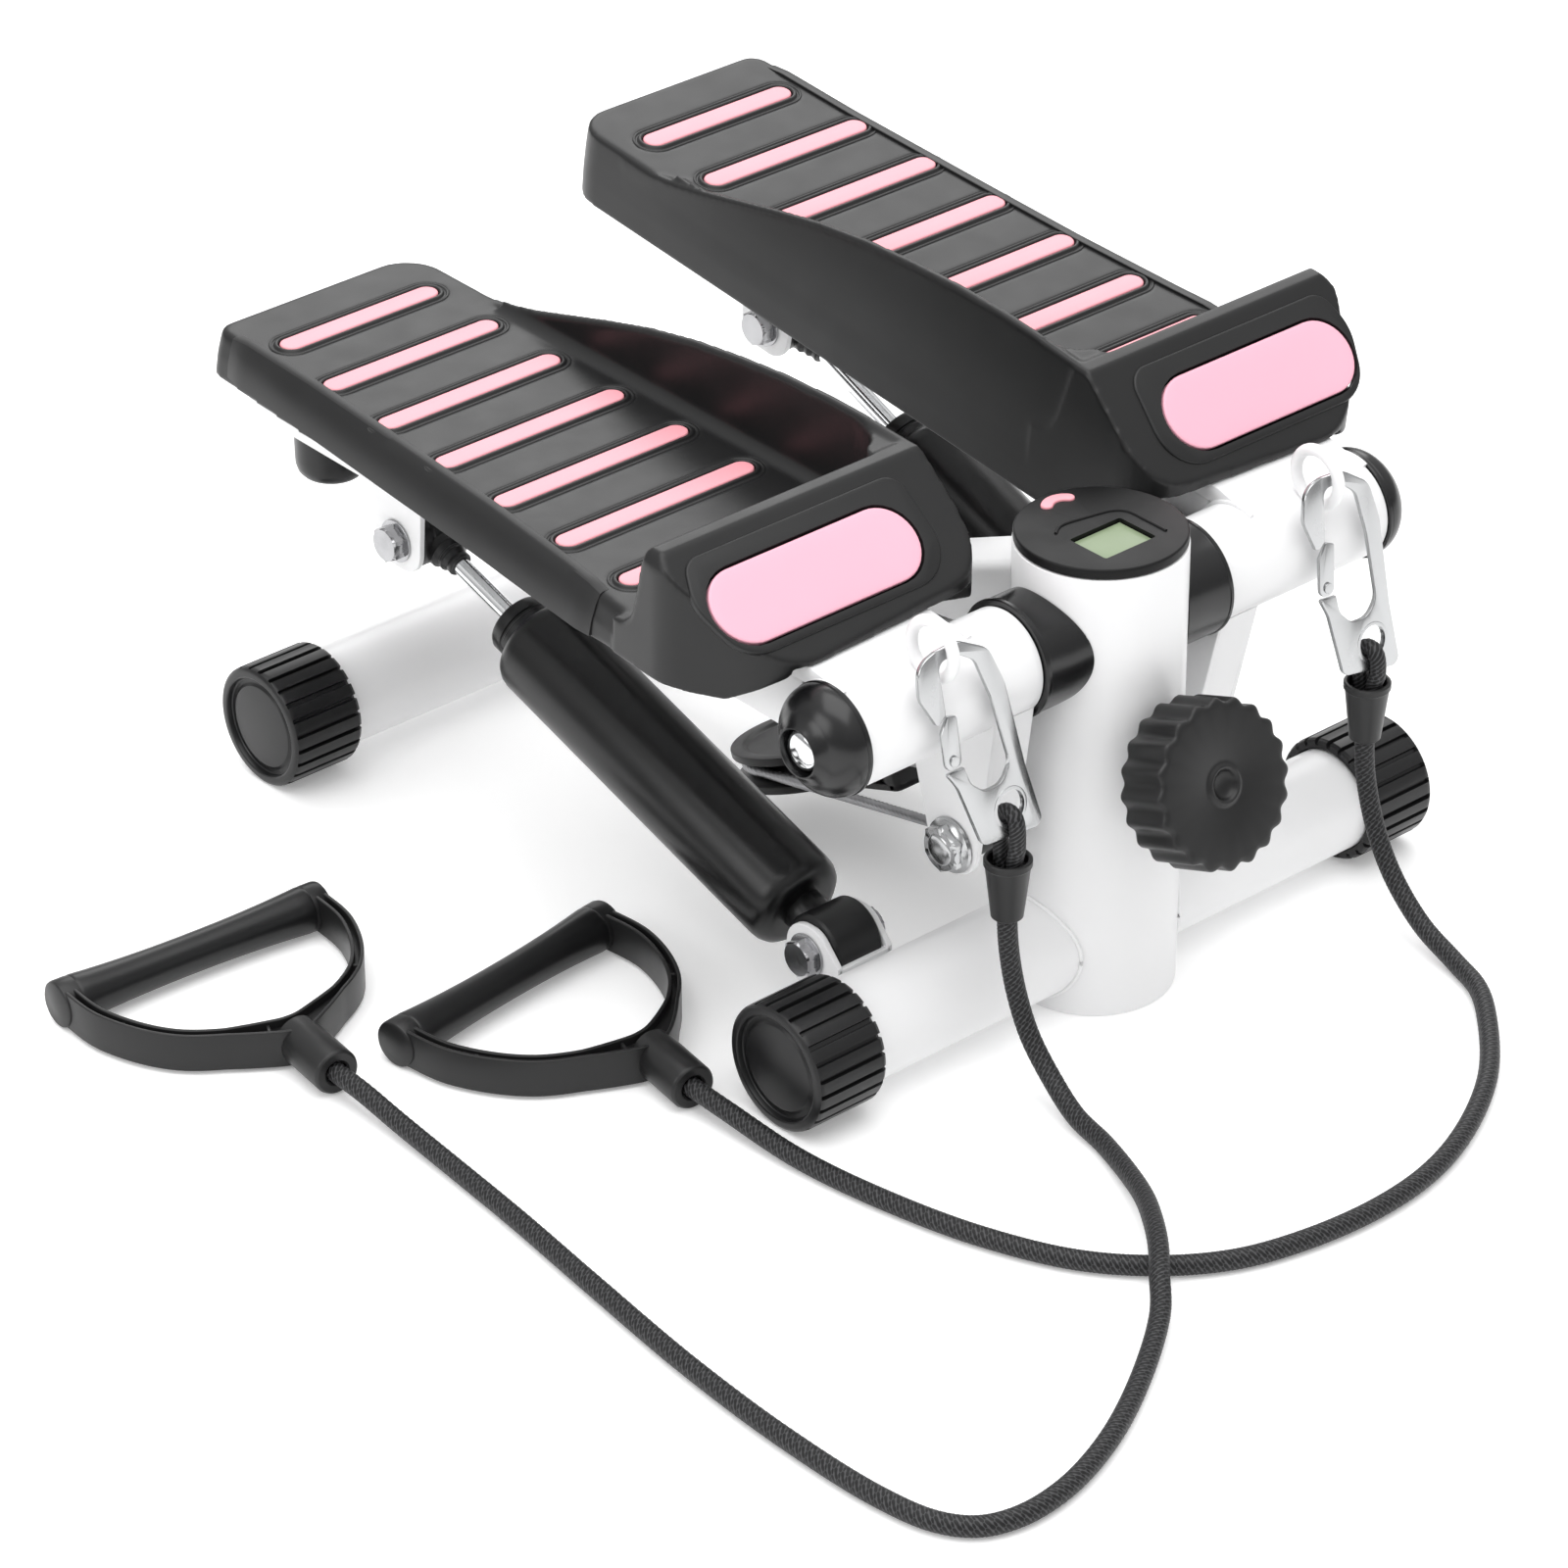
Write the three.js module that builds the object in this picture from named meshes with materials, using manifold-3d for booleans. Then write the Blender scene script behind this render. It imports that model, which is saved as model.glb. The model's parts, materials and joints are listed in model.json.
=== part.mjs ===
// A mini stepper: two dampened foot pedals on one crossbar, tied together by a cable round a
// pulley, with two resistance cords clipped to the crossbar sleeves.
// Millimetres, +Z up, +Y towards the heels, +X to the user's right. The origin is on the floor,
// on the axis of the post.
import * as THREE from "three";
import { mergeVertices } from "three/addons/utils/BufferGeometryUtils.js";
import Module from "manifold-3d";

const wasm = await Module();
wasm.setup();

// ---------------------------------------------------------------- driving dimensions
const GAP = 0.3; // between solids that touch
const FACET = 0.06; // flats closer than this to a surface are merged
const POST_R = 38;
const POST_WALL = 2.5;
const POST_TOP = 217.6;
const TUBE_R = 24; // base tubes and pivot sleeves
const TUBE_WALL = 2;
const CAP_R = 29.3; // end caps of the base tubes, which stand on the floor
const CAP_LENGTH = 38;
const CAP_RIDGES = 24;
const FRONT_CAP_X = 185.4;
const REAR_CAP_X = 174.1;
const REAR_Y = 372.8;
const BEAM_WIDTH = 43;
const BEAM_DEPTH = 40;
const BEAM_WALL = 2.5;
const BEAM_FRONT = [34, 200]; // y, z of the top face at the post
const BEAM_REAR = [373, 49];

const PIVOT_Z = 179.2;
const AXLE_R = 9.7;
const AXLE_END = 170.5;
const COLLAR_R = 27;
const SLEEVE_X = [55.3, 152.3];
const REST_DEG = { left: 0.93, right: 6.64 }; // heel end up is positive
const ARM_U = [82, 152.2]; // outer faces of the arm's two flanks
const LUG_U = [[56, 59], [76, 79]];
const DECK_TOP = 31;
const DECK_THICK = 5;
const SOLE = -6; // lowest level of the skirt, at the inner side
const OUTER_EDGE = [[191, 100], [187, 142], [181, 200], [176, 261], [169, 341]]; // u, v
const GUARD_TOP = [67, 72.5]; // v, w
const PAD = { u: 127.5, half: 38.4, radius: 17.4, origin: [39.75, 50.5] };
const STRIP_V = [375, 331.6, 287.8, 243.7, 200.1, 156.2, 113.3];
const STRIP_INNER_U = 66.5; // centre of a strip's round inner end
const STRIP_R = 5.5;
const STRIP_PROUD = 0.8;
const LUG_BOLT = [4.2, -84.1]; // v, w of the cable bolt under the sleeve
const DAMPER_U = 112;
const DAMPER_TOP = [322, -53]; // v, w of the upper damper bolt
const DAMPER_FOOT = [43.5, 42]; // y, z of the lower damper bolt
const DAMPER_R = 23.5;
const DAMPER_BODY = [26, 212]; // ends of the cylinder, from its foot
const DAMPER_NECK = 225;
const DAMPER_EYE = { radius: 15.2, half: 12.5 };
const EAR_X = [13, 16]; // faces of a bracket's ear, from the damper's middle
const BUMPER = [115.7, 385]; // u, v

const DISC_R = 37.6; // the computer's disc on the post
const DISC_TOP = 222.6;
const LCD = { x: [-17.5, 12], y: [-21, 1.3] };
const BUTTON_CENTRE = [2, 30];

const SCREW_DEG = 20; // the tension screw falls towards the heels
const SCREW_FRONT = [-78.6, 130.7]; // y, z of the knob's face
const SCREW_R = 6;
const KNOB_R = 37.5;
const KNOB_THICK = 26;
const KNOB_SCALLOPS = 20;
const PULLEY_FROM_FACE = 271.4;
const PULLEY_R = 42;
const PULLEY_HALF = 8.7;
const PIN_R = 4;
const YOKE_FRONT = PULLEY_FROM_FACE - PULLEY_R - 22;
const YOKE_HALF = 13; // half its width, and its reach past the wheel's centre
const YOKE_ARM = [10.2, 13.5]; // faces of an arm, from the wheel's middle plane
const SCREW_END = YOKE_FRONT + 8;
const GROOVE_R = 36;
const CABLE_R = 2.5;

const RING_X = 113;
const RING_CENTRE = [-17.5, 213.5]; // y, z
const RING_R = 12.75;
const RING_TUBE = 2.75;
const HOOK_THICK = 2.5;
const HOOK_LEAN = 9; // degrees, the foot of the hook is further forward
const HOOK_TOP = [-25, 213.5]; // y, z of the hook's plane at the ring
const HOOK_TURN = { left: 0, right: 6.5 }; // degrees in the hook's own plane
// Hook outlines: a to the right, b downwards from the ring's centre, in the hook's own plane.
const HOOK_BODY = [
  [-6, -4, 6], [7, -4.6, 14], [23, 4, 12], [30, 22, 20], [36.6, 62, 20], [44, 92.5, 4], [9, 90, 5],
  [-1, 60, 20], [-6.4, 51.6, 1], [3.4, 51.6], [6, 60, 8], [13, 66, 8], [23, 66, 8], [28.5, 58, 8],
  [22, 27, 20], [15, 7, 8], [5, 0.6, 4], [-5, 1.6, 4], [-3.6, 25, 2], [-8.5, 29.5, 2], [-17, 14, 9],
  [-16, -1, 9],
];
// The gate turns inwards about the middle of its round lower end.
const HOOK_GATE = [[-2.7, 26, 1], [2.2, 27.5, 1.5], [2.6, 50.8, 4], [-6.2, 50.8, 4], [-7, 33]];
const HOOK_HOLE = [26, 78, 8.2]; // a, b, radius
const CORD_R = 4.5;
const FERRULE_LENGTH = 29;
const FERRULE = { left: [-87.5, -38, 112], right: [129, -38, 115] }; // centre of the upper end

// Routes of the resistance cords, from the ferrule to the handle's hub.
const CORD_ROUTE = {
  left: [
    [-87.5, -38, 82.3], [-87, -39, 66], [-86, -43, 46], [-86, -52, 28], [-87, -67, 14],
    [-91, -86, 6.5], [-95, -108, 4.8], [-112, -147, 9], [-126, -168, 13], [-140, -186, 14.4],
    [-152, -199, 12.5], [-165, -213, 8], [-199, -237, 4.8], [-239, -259, 4.8], [-273, -270, 4.8],
    [-298, -271, 4.8], [-314, -265, 4.8], [-324, -252, 4.8], [-330, -226, 4.8], [-332, -172, 4.8],
    [-329, -110, 4.8], [-322, -45, 4.8], [-315, 15, 4.8], [-311, 60, 5], [-309, 100, 7],
    [-308.7, 125, 10], [-308.6, 142.2, 11],
  ],
  right: [
    [129, -38, 85.2], [128.6, -40, 68], [127.5, -48, 46], [125.5, -62, 27], [123, -83, 12],
    [119, -108, 5.5], [112, -128, 4.8], [95, -150, 4.8], [63, -180, 4.8], [23, -203, 4.8],
    [-11, -214, 4.8], [-46, -217, 4.8], [-83, -213, 4.8], [-113, -204, 4.8], [-139, -187, 4.8],
    [-162, -161, 4.8], [-180, -122, 4.8], [-192, -76, 4.8], [-199, -30, 5.5], [-201.8, 12, 9.5],
    [-202.4, 32.2, 11],
  ],
};

const HANDLE_THICK = 18;
const HANDLE_Z = 11;
const GRIP_R = 10.4;
// Grip ends and hub ends on the floor plan.
const HANDLE = {
  left: { grip: [[-358, 266], [-238, 257]], hub: [[-305, 171], [-308.6, 143]] },
  right: { grip: [[-268, 145], [-153, 159]], hub: [[-198, 61], [-202.4, 33]] },
};
const HUB_R = 11;

// ---------------------------------------------------------------- materials
const material = (color, roughness, metalness = 0) =>
  new THREE.MeshStandardMaterial({ color, roughness, metalness });
const WHITE = material(0xf2f2f2, 0.3, 0.1);
const BLACK = material(0x17181a, 0.45);
const GLOSS_BLACK = material(0x0b0b0c, 0.2);
const RUBBER = material(0x1b1b1c, 0.7);
const PINK = material(0xf7b6c4, 0.5);
const CHROME = material(0xcfd2d6, 0.12, 1);
const BRAID = material(0x141416, 0.85);
const SCREEN = material(0xa9bd9c, 0.25);

// ---------------------------------------------------------------- solids
const V3 = (x, y, z) => new THREE.Vector3(x, y, z);
const degrees = THREE.MathUtils.degToRad;

// A closed geometry as a manifold-3d solid, whichever way its faces wind.
function solid(geometry) {
  const bare = geometry.clone();
  bare.deleteAttribute("normal");
  bare.deleteAttribute("uv");
  const merged = mergeVertices(bare, 1e-4);
  const corners = [];
  const index = merged.index.array;
  for (let i = 0; i < index.length; i += 3) {
    const [a, b, c] = index.slice(i, i + 3);
    if (a !== b && b !== c && c !== a) corners.push(a, b, c);
  }
  const build = (triVerts) =>
    new wasm.Manifold(
      new wasm.Mesh({
        numProp: 3,
        vertProperties: merged.attributes.position.array,
        triVerts: new Uint32Array(triVerts),
      }),
    );
  const made = build(corners);
  if (made.volume() > 0) return made;
  for (let i = 0; i < corners.length; i += 3) {
    [corners[i + 1], corners[i + 2]] = [corners[i + 2], corners[i + 1]];
  }
  return build(corners);
}

function geometryOf(made) {
  const mesh = made.simplify(FACET).getMesh();
  const geometry = new THREE.BufferGeometry();
  geometry.setAttribute("position", new THREE.BufferAttribute(mesh.vertProperties.slice(), 3));
  geometry.setIndex(new THREE.BufferAttribute(mesh.triVerts.slice(), 1));
  geometry.computeVertexNormals();
  return geometry;
}

const join = (first, ...others) => others.reduce((sum, other) => sum.add(other), first);
const cut = (first, ...others) => others.reduce((rest, other) => rest.subtract(other), first);

// The matrix that carries +Y onto a direction and the origin onto a point.
function frameAlong(origin, direction) {
  const turn = new THREE.Quaternion().setFromUnitVectors(V3(0, 1, 0), direction.clone().normalize());
  return new THREE.Matrix4().compose(origin, turn, V3(1, 1, 1));
}

// A round bar between two points.
function bar(from, to, radius, sides = 32) {
  const [a, b] = [V3(...from), V3(...to)];
  const along = b.clone().sub(a);
  const shape = new THREE.CylinderGeometry(radius, radius, along.length(), sides);
  shape.translate(0, along.length() / 2, 0);
  return solid(shape.applyMatrix4(frameAlong(a, along)));
}

// A turned piece: [radius, height] pairs measured along a direction from a point.
function turned(profile, origin, direction, sides = 32) {
  const shape = new THREE.LatheGeometry(profile.map((p) => new THREE.Vector2(...p)), sides);
  return solid(shape.applyMatrix4(frameAlong(V3(...origin), V3(...direction))));
}

// An outline with each [x, y, radius] corner rounded by that radius.
function rounded(corners, steps = 5) {
  const points = [];
  corners.forEach(([x, y, radius = 0], i) => {
    const here = new THREE.Vector2(x, y);
    if (!radius) {
      points.push(here);
      return;
    }
    const before = new THREE.Vector2(...corners.at(i - 1));
    const after = new THREE.Vector2(...corners[(i + 1) % corners.length]);
    const u = before.sub(here).normalize();
    const v = after.sub(here).normalize();
    const half = Math.acos(THREE.MathUtils.clamp(u.dot(v), -1, 1)) / 2;
    const centre = here.clone().addScaledVector(u.clone().add(v).normalize(), radius / Math.sin(half));
    const start = here.clone().addScaledVector(u, radius / Math.tan(half)).sub(centre);
    const sweep = Math.PI - 2 * half;
    const side = Math.sign(u.x * v.y - u.y * v.x) || 1;
    for (let k = 0; k <= steps; k++) {
      const turn = (-side * sweep * k) / steps;
      points.push(start.clone().rotateAround(new THREE.Vector2(), turn).add(centre));
    }
  });
  return points;
}

// A stadium: two half circles and two straight sides, its long side along x.
function stadium(x0, x1, y, radius, steps = 6) {
  const points = [];
  for (let k = 0; k <= steps; k++) {
    const a = -Math.PI / 2 + (Math.PI * k) / steps;
    points.push(new THREE.Vector2(x1 + radius * Math.cos(a), y + radius * Math.sin(a)));
  }
  for (let k = 0; k <= steps; k++) {
    const a = Math.PI / 2 + (Math.PI * k) / steps;
    points.push(new THREE.Vector2(x0 + radius * Math.cos(a), y + radius * Math.sin(a)));
  }
  return points;
}

const PLANES = {
  x: [V3(0, 1, 0), V3(0, 0, 1), V3(1, 0, 0)],
  y: [V3(1, 0, 0), V3(0, 0, 1), V3(0, 1, 0)],
  z: [V3(1, 0, 0), V3(0, 1, 0), V3(0, 0, 1)],
};

const extruded = (points, depth) =>
  new THREE.ExtrudeGeometry(new THREE.Shape(points), { depth, bevelEnabled: false });

// An outline in the plane across an axis, carried along that axis from one height to another.
function plate(outline, axis, from, to) {
  const points = outline.map((p) => (p.isVector2 ? p : new THREE.Vector2(p[0], p[1])));
  const shape = extruded(points, to - from).translate(0, 0, from);
  return solid(shape.applyMatrix4(new THREE.Matrix4().makeBasis(...PLANES[axis])));
}

// An outline carried along a straight line; its x side lies along the machine's X.
function profileAlong(outline, from, to) {
  const [a, b] = [V3(...from), V3(...to)];
  const along = b.clone().sub(a);
  const shape = extruded(outline, along.length());
  const w = along.clone().normalize();
  const v = w.clone().cross(V3(1, 0, 0)).normalize();
  const matrix = new THREE.Matrix4().makeBasis(V3(1, 0, 0), v, w).setPosition(a);
  return solid(shape.applyMatrix4(matrix));
}

const block = (x, y, z) =>
  plate([[x[0], y[0]], [x[1], y[0]], [x[1], y[1]], [x[0], y[1]]], "z", ...z);

function circlePoints(radius, sides) {
  const points = [];
  for (let k = 0; k < sides; k++) {
    const a = (2 * Math.PI * k) / sides;
    points.push(new THREE.Vector2(radius * Math.cos(a), radius * Math.sin(a)));
  }
  return points;
}

// A round or shaped section carried along a smooth curve through points.
function swept(points, section, steps) {
  const path = new THREE.CatmullRomCurve3(points.map((p) => V3(...p)), false, "centripetal");
  const shape = new THREE.Shape(section);
  return solid(new THREE.ExtrudeGeometry(shape, { steps, extrudePath: path, bevelEnabled: false }));
}

function mesh(name, made, look) {
  const item = new THREE.Mesh(geometryOf(made), look);
  item.name = name;
  return item;
}

const machine = new THREE.Group();
const SIDES = { left: -1, right: 1 };

// ---------------------------------------------------------------- base frame
// A point on the tension screw's axis, a distance behind the knob's face.
const SCREW_DIR = V3(0, Math.cos(degrees(SCREW_DEG)), -Math.sin(degrees(SCREW_DEG)));
const screwPoint = (s) => V3(0, ...SCREW_FRONT).addScaledVector(SCREW_DIR, s).toArray();
const PULLEY_NORMAL = V3(0, Math.sin(degrees(SCREW_DEG)), Math.cos(degrees(SCREW_DEG)));

function post() {
  const base = 5;
  const inner = POST_R - POST_WALL;
  const profile = [
    [0, 0], [POST_R, 0], [POST_R, POST_TOP], [inner, POST_TOP], [inner, base], [0, base],
  ];
  const holes = [
    bar([-60, 0, PIVOT_Z], [60, 0, PIVOT_Z], AXLE_R + GAP, 24),
    bar(screwPoint(10), screwPoint(150), SCREW_R + 0.5, 20),
  ];
  return cut(turned(profile, [0, 0, 0], [0, 0, 1], 36), ...holes);
}

function tube(from, to) {
  return cut(bar(from, to, TUBE_R, 28), bar(from, to, TUBE_R - TUBE_WALL, 24));
}

function frontTube(side) {
  const whole = tube([side * 20, 0, CAP_R], [side * (FRONT_CAP_X - 8), 0, CAP_R]);
  return cut(whole, bar([0, 0, -5], [0, 0, POST_TOP], POST_R + GAP, 36));
}

function beam() {
  const slope = V3(0, BEAM_REAR[0] - BEAM_FRONT[0], BEAM_REAR[1] - BEAM_FRONT[1]).normalize();
  const down = V3(0, slope.z, -slope.y);
  const on = (s) =>
    V3(0, ...BEAM_FRONT).addScaledVector(slope, s).addScaledVector(down, BEAM_DEPTH / 2).toArray();
  const section = (w, h, r) =>
    rounded([[-w / 2, -h / 2, r], [w / 2, -h / 2, r], [w / 2, h / 2, r], [-w / 2, h / 2, r]], 4);
  const length = Math.hypot(BEAM_REAR[0] - BEAM_FRONT[0], BEAM_REAR[1] - BEAM_FRONT[1]);
  const outer = profileAlong(section(BEAM_WIDTH, BEAM_DEPTH, 5), on(-30), on(length + 10));
  const inner = profileAlong(
    section(BEAM_WIDTH - 2 * BEAM_WALL, BEAM_DEPTH - 2 * BEAM_WALL, 3), on(-31), on(length + 11));
  return cut(
    outer,
    inner,
    bar([0, 0, 0], [0, 0, 260], POST_R + 1.2, 36),
    bar([-60, REAR_Y, CAP_R], [60, REAR_Y, CAP_R], TUBE_R + GAP, 32),
    block([-60, 60], [REAR_Y + 2, REAR_Y + 60], [-40, 120]),
  );
}

// A ribbed cup over a tube's end; built for the +X end.
function endCap(y, outerX, side) {
  const outline = [];
  for (let k = 0; k < CAP_RIDGES; k++) {
    const step = (2 * Math.PI) / CAP_RIDGES;
    for (const [share, depth] of [[-0.32, 0], [0.32, 0], [0.38, 1.4], [0.62, 1.4]]) {
      const a = (k + share) * step - Math.PI / 2;
      outline.push([(CAP_R - depth) * Math.cos(a), CAP_R + (CAP_R - depth) * Math.sin(a)]);
    }
  }
  const inX = outerX - CAP_LENGTH;
  const centre = (x) => [x, 0, CAP_R];
  const ribs = plate(outline, "x", inX, outerX);
  const dish = bar(centre(outerX - 2), centre(outerX + 1), CAP_R - 6, 20);
  const socket = bar(centre(inX - 1), centre(outerX - 7.5), TUBE_R + 2 * GAP, 24);
  const cap = cut(ribs, dish, socket);
  const placed = side > 0 ? cap : cap.mirror([1, 0, 0]);
  return placed.translate([0, y, 0]);
}

machine.add(mesh("post", post(), WHITE));
const REAR_END = REAR_CAP_X - 8;
machine.add(mesh("rear_tube", tube([-REAR_END, REAR_Y, CAP_R], [REAR_END, REAR_Y, CAP_R]), WHITE));
machine.add(mesh("main_beam", beam(), WHITE));
for (const [name, side] of Object.entries(SIDES)) {
  machine.add(mesh(`front_tube_${name}`, frontTube(side), WHITE));
  machine.add(mesh(`front_cap_${name}`, endCap(0, FRONT_CAP_X, side), RUBBER));
  machine.add(mesh(`rear_cap_${name}`, endCap(REAR_Y, REAR_CAP_X, side), RUBBER));
}

// ---------------------------------------------------------------- pivot
function collar(side) {
  const at = (x) => [side * x, 0, PIVOT_Z];
  const solidCollar = join(
    bar(at(24), at(52.6), COLLAR_R - 0.5, 24),
    bar(at(52.6), at(55), COLLAR_R, 24),
    bar(at(54), at(72), TUBE_R - TUBE_WALL - 0.8, 16),
  );
  return cut(
    solidCollar,
    bar([0, 0, 120], [0, 0, 240], POST_R + GAP, 36),
    bar(at(10), at(80), AXLE_R + 0.6, 16),
  );
}

function axle() {
  const dish = [[0, AXLE_END - 5], [5, AXLE_END - 4], [6.2, AXLE_END - 1], [8.2, AXLE_END]];
  const half = [...dish, [AXLE_R, AXLE_END - 1.5]];
  const mirrored = half.map(([r, h]) => [r, -h]);
  return turned([...mirrored, ...half.reverse()], [0, 0, PIVOT_Z], [1, 0, 0], 18);
}

machine.add(mesh("pivot_axle", axle(), CHROME));
for (const [name, side] of Object.entries(SIDES)) {
  machine.add(mesh(`collar_${name}`, collar(side), BLACK));
}

// ---------------------------------------------------------------- computer
// A kidney-shaped outline that follows the disc's edge.
function kidney(arcRadius, halfWidth, endDegrees) {
  const middle = Math.atan2(BUTTON_CENTRE[1], BUTTON_CENTRE[0]);
  const points = [];
  for (const [radius, way] of [[arcRadius + halfWidth, 1], [arcRadius - halfWidth, -1]]) {
    for (let k = -4; k <= 4; k++) {
      const a = middle + degrees((way * k * endDegrees) / 4);
      const shrink = Math.abs(k) === 4 ? halfWidth * 0.6 : 0;
      const r = radius - way * shrink;
      points.push([r * Math.cos(a), r * Math.sin(a)]);
    }
  }
  return points;
}

function computerCase() {
  const disc = [[0, 200], [34.9, 200], [34.9, POST_TOP + GAP], [DISC_R, POST_TOP + GAP],
    [DISC_R, DISC_TOP - 0.8], [DISC_R - 0.8, DISC_TOP], [0, DISC_TOP]];
  const ridge = swept(
    [[-17.7, 9.7, DISC_TOP], [-12, 12.4, DISC_TOP], [2, 10, DISC_TOP], [15.2, 6.7, DISC_TOP],
      [18.1, 2.1, DISC_TOP], [18.5, -8, DISC_TOP], [18.5, -20.3, DISC_TOP]],
    circlePoints(0.9, 5), 12);
  return cut(
    join(turned(disc, [0, 0, 0], [0, 0, 1], 36), ridge),
    block(LCD.x, LCD.y, [DISC_TOP - 1.8, DISC_TOP + 3]),
    plate(kidney(30, 3.3, 18.5), "z", DISC_TOP - 4, DISC_TOP + 3),
  );
}

const inset = (range, d) => [range[0] + d, range[1] - d];
machine.add(mesh("computer_case", computerCase(), BLACK));
const pane = block(inset(LCD.x, 0.4), inset(LCD.y, 0.4), [DISC_TOP - 1.5, DISC_TOP - 0.6]);
const button = plate(kidney(30, 2.9, 17.6), "z", DISC_TOP - 2.4, DISC_TOP + 0.7);
machine.add(mesh("lcd_window", pane, SCREEN));
machine.add(mesh("mode_button", button, PINK));

// ---------------------------------------------------------------- tension knob, screw, pulley, cable
function knob() {
  const outline = [];
  const steps = 3;
  for (let k = 0; k < KNOB_SCALLOPS * steps; k++) {
    const a = (2 * Math.PI * k) / (KNOB_SCALLOPS * steps);
    const dip = 1.5 * Math.pow(Math.cos((a * KNOB_SCALLOPS) / 2), 4);
    outline.push(new THREE.Vector2((KNOB_R - dip) * Math.cos(a), (KNOB_R - dip) * Math.sin(a)));
  }
  const shape = extruded(outline, KNOB_THICK).rotateX(-Math.PI / 2);
  const grip = solid(shape.applyMatrix4(frameAlong(V3(...screwPoint(0)), SCREW_DIR)));
  const bowl = [[0, -1], [9.5, -1], [9.5, 0.4], [7.5, 2], [0, 3]];
  const dimple = turned(bowl, screwPoint(0), SCREW_DIR.toArray(), 24);
  const boss = bar(screwPoint(KNOB_THICK - 0.5), screwPoint(KNOB_THICK + 6), 13, 32);
  const bore = bar(screwPoint(6), screwPoint(KNOB_THICK + 10), SCREW_R + GAP, 20);
  return cut(join(grip, boss), dimple, bore);
}

const screw = () => bar(screwPoint(6.5), screwPoint(SCREW_END), SCREW_R, 20);

const pulleyPoint = (h) =>
  V3(...screwPoint(PULLEY_FROM_FACE)).addScaledVector(PULLEY_NORMAL, h).toArray();

// The pulley's fork: a threaded block on the screw with one arm above and one below the wheel.
function yoke() {
  const w = YOKE_HALF;
  const outline = (from, to) =>
    rounded([[-w, from, 3], [w, from, 3], [w, to, w - 0.5], [-w, to, w - 0.5]], 3);
  const basis = new THREE.Matrix4().makeBasis(V3(1, 0, 0), SCREW_DIR, PULLEY_NORMAL);
  basis.setPosition(V3(...screwPoint(0)));
  const placed = (points, low, high) =>
    solid(extruded(points, high - low).translate(0, 0, low).applyMatrix4(basis));
  const far = PULLEY_FROM_FACE + w;
  const [inside, outside] = YOKE_ARM;
  return cut(
    join(
      placed(outline(YOKE_FRONT, YOKE_FRONT + 18), -outside, outside),
      placed(outline(YOKE_FRONT, far), inside, outside),
      placed(outline(YOKE_FRONT, far), -outside, -inside),
    ),
    bar(screwPoint(YOKE_FRONT - 5), screwPoint(SCREW_END + 1), SCREW_R + GAP, 20),
    bar(pulleyPoint(-20), pulleyPoint(20), PIN_R + GAP, 20),
  );
}

function pulley() {
  const floor = GROOVE_R - CABLE_R - 0.5;
  const bore = PIN_R + 0.5;
  const profile = [
    [bore, -PULLEY_HALF], [PULLEY_R, -PULLEY_HALF], [PULLEY_R, -5], [floor, -2.6], [floor, 2.6],
    [PULLEY_R, 5], [PULLEY_R, PULLEY_HALF], [bore, PULLEY_HALF], [bore, -PULLEY_HALF],
  ];
  return turned(profile, pulleyPoint(0), PULLEY_NORMAL.toArray(), 28);
}

function pulleyPin() {
  const profile = [
    [0, -15.5], [6.5, -15.5], [6.5, -13.8], [PIN_R, -13.8], [PIN_R, 13.8], [6.5, 13.8], [6.5, 15.5],
    [0, 15.5],
  ];
  return turned(profile, pulleyPoint(0), PULLEY_NORMAL.toArray(), 20);
}

// The y, z of a pedal's v, w at rest.
function pedalPoint(name, [v, w]) {
  const t = degrees(REST_DEG[name]);
  return [v * Math.cos(t) - w * Math.sin(t), PIVOT_Z + v * Math.sin(t) + w * Math.cos(t)];
}

// The steel cable runs from one sleeve's lug round the back of the pulley to the other.
function cable() {
  const across = V3(1, 0, 0);
  const centre = V3(...pulleyPoint(0));
  const between = (LUG_U[0][1] + LUG_U[1][0]) / 2 - 0.5;
  const start = [];
  for (const [name, side] of Object.entries(SIDES)) {
    const bolt = V3(side * between, ...pedalPoint(name, LUG_BOLT));
    const edge = centre.clone().addScaledVector(across, side * GROOVE_R);
    const back = edge.clone().sub(bolt);
    const on = (share) => bolt.clone().addScaledVector(back, share);
    start.push([on(11 / back.length()), on(0.45), on(0.85)]);
  }
  const wrap = [];
  for (let k = 0; k <= 10; k++) {
    const a = degrees(186 - (192 * k) / 10);
    const point = centre.clone().addScaledVector(across, GROOVE_R * Math.cos(a));
    wrap.push(point.addScaledVector(SCREW_DIR, GROOVE_R * Math.sin(a)));
  }
  const points = [...start[0], ...wrap, ...start[1].reverse()];
  return swept(points.map((p) => p.toArray()), circlePoints(CABLE_R, 6), 44);
}

machine.add(mesh("tension_knob", knob(), BLACK));
machine.add(mesh("tension_screw", screw(), CHROME));
machine.add(mesh("pulley_yoke", yoke(), BLACK));
machine.add(mesh("cable_pulley", pulley(), GLOSS_BLACK));
machine.add(mesh("pulley_pin", pulleyPin(), CHROME));
machine.add(mesh("steel_cable", cable(), CHROME));

// ---------------------------------------------------------------- pedals
// Pedal coordinates, built for the right side: u outwards from the machine's centre plane,
// v towards the heel, w up, with the origin on the pivot axis.
function shellPlan(shrink = 0) {
  return rounded([
    [45 + shrink, 20 + shrink, 22],
    [166, 13.5 + shrink, 34],
    [194 - shrink, 60, 24],
    ...OUTER_EDGE.map(([u, v]) => [u - shrink, v]),
    [163.5 - shrink, 412 - shrink, 9],
    [45 + shrink, 412 - shrink, 20],
  ], 6);
}

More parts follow.
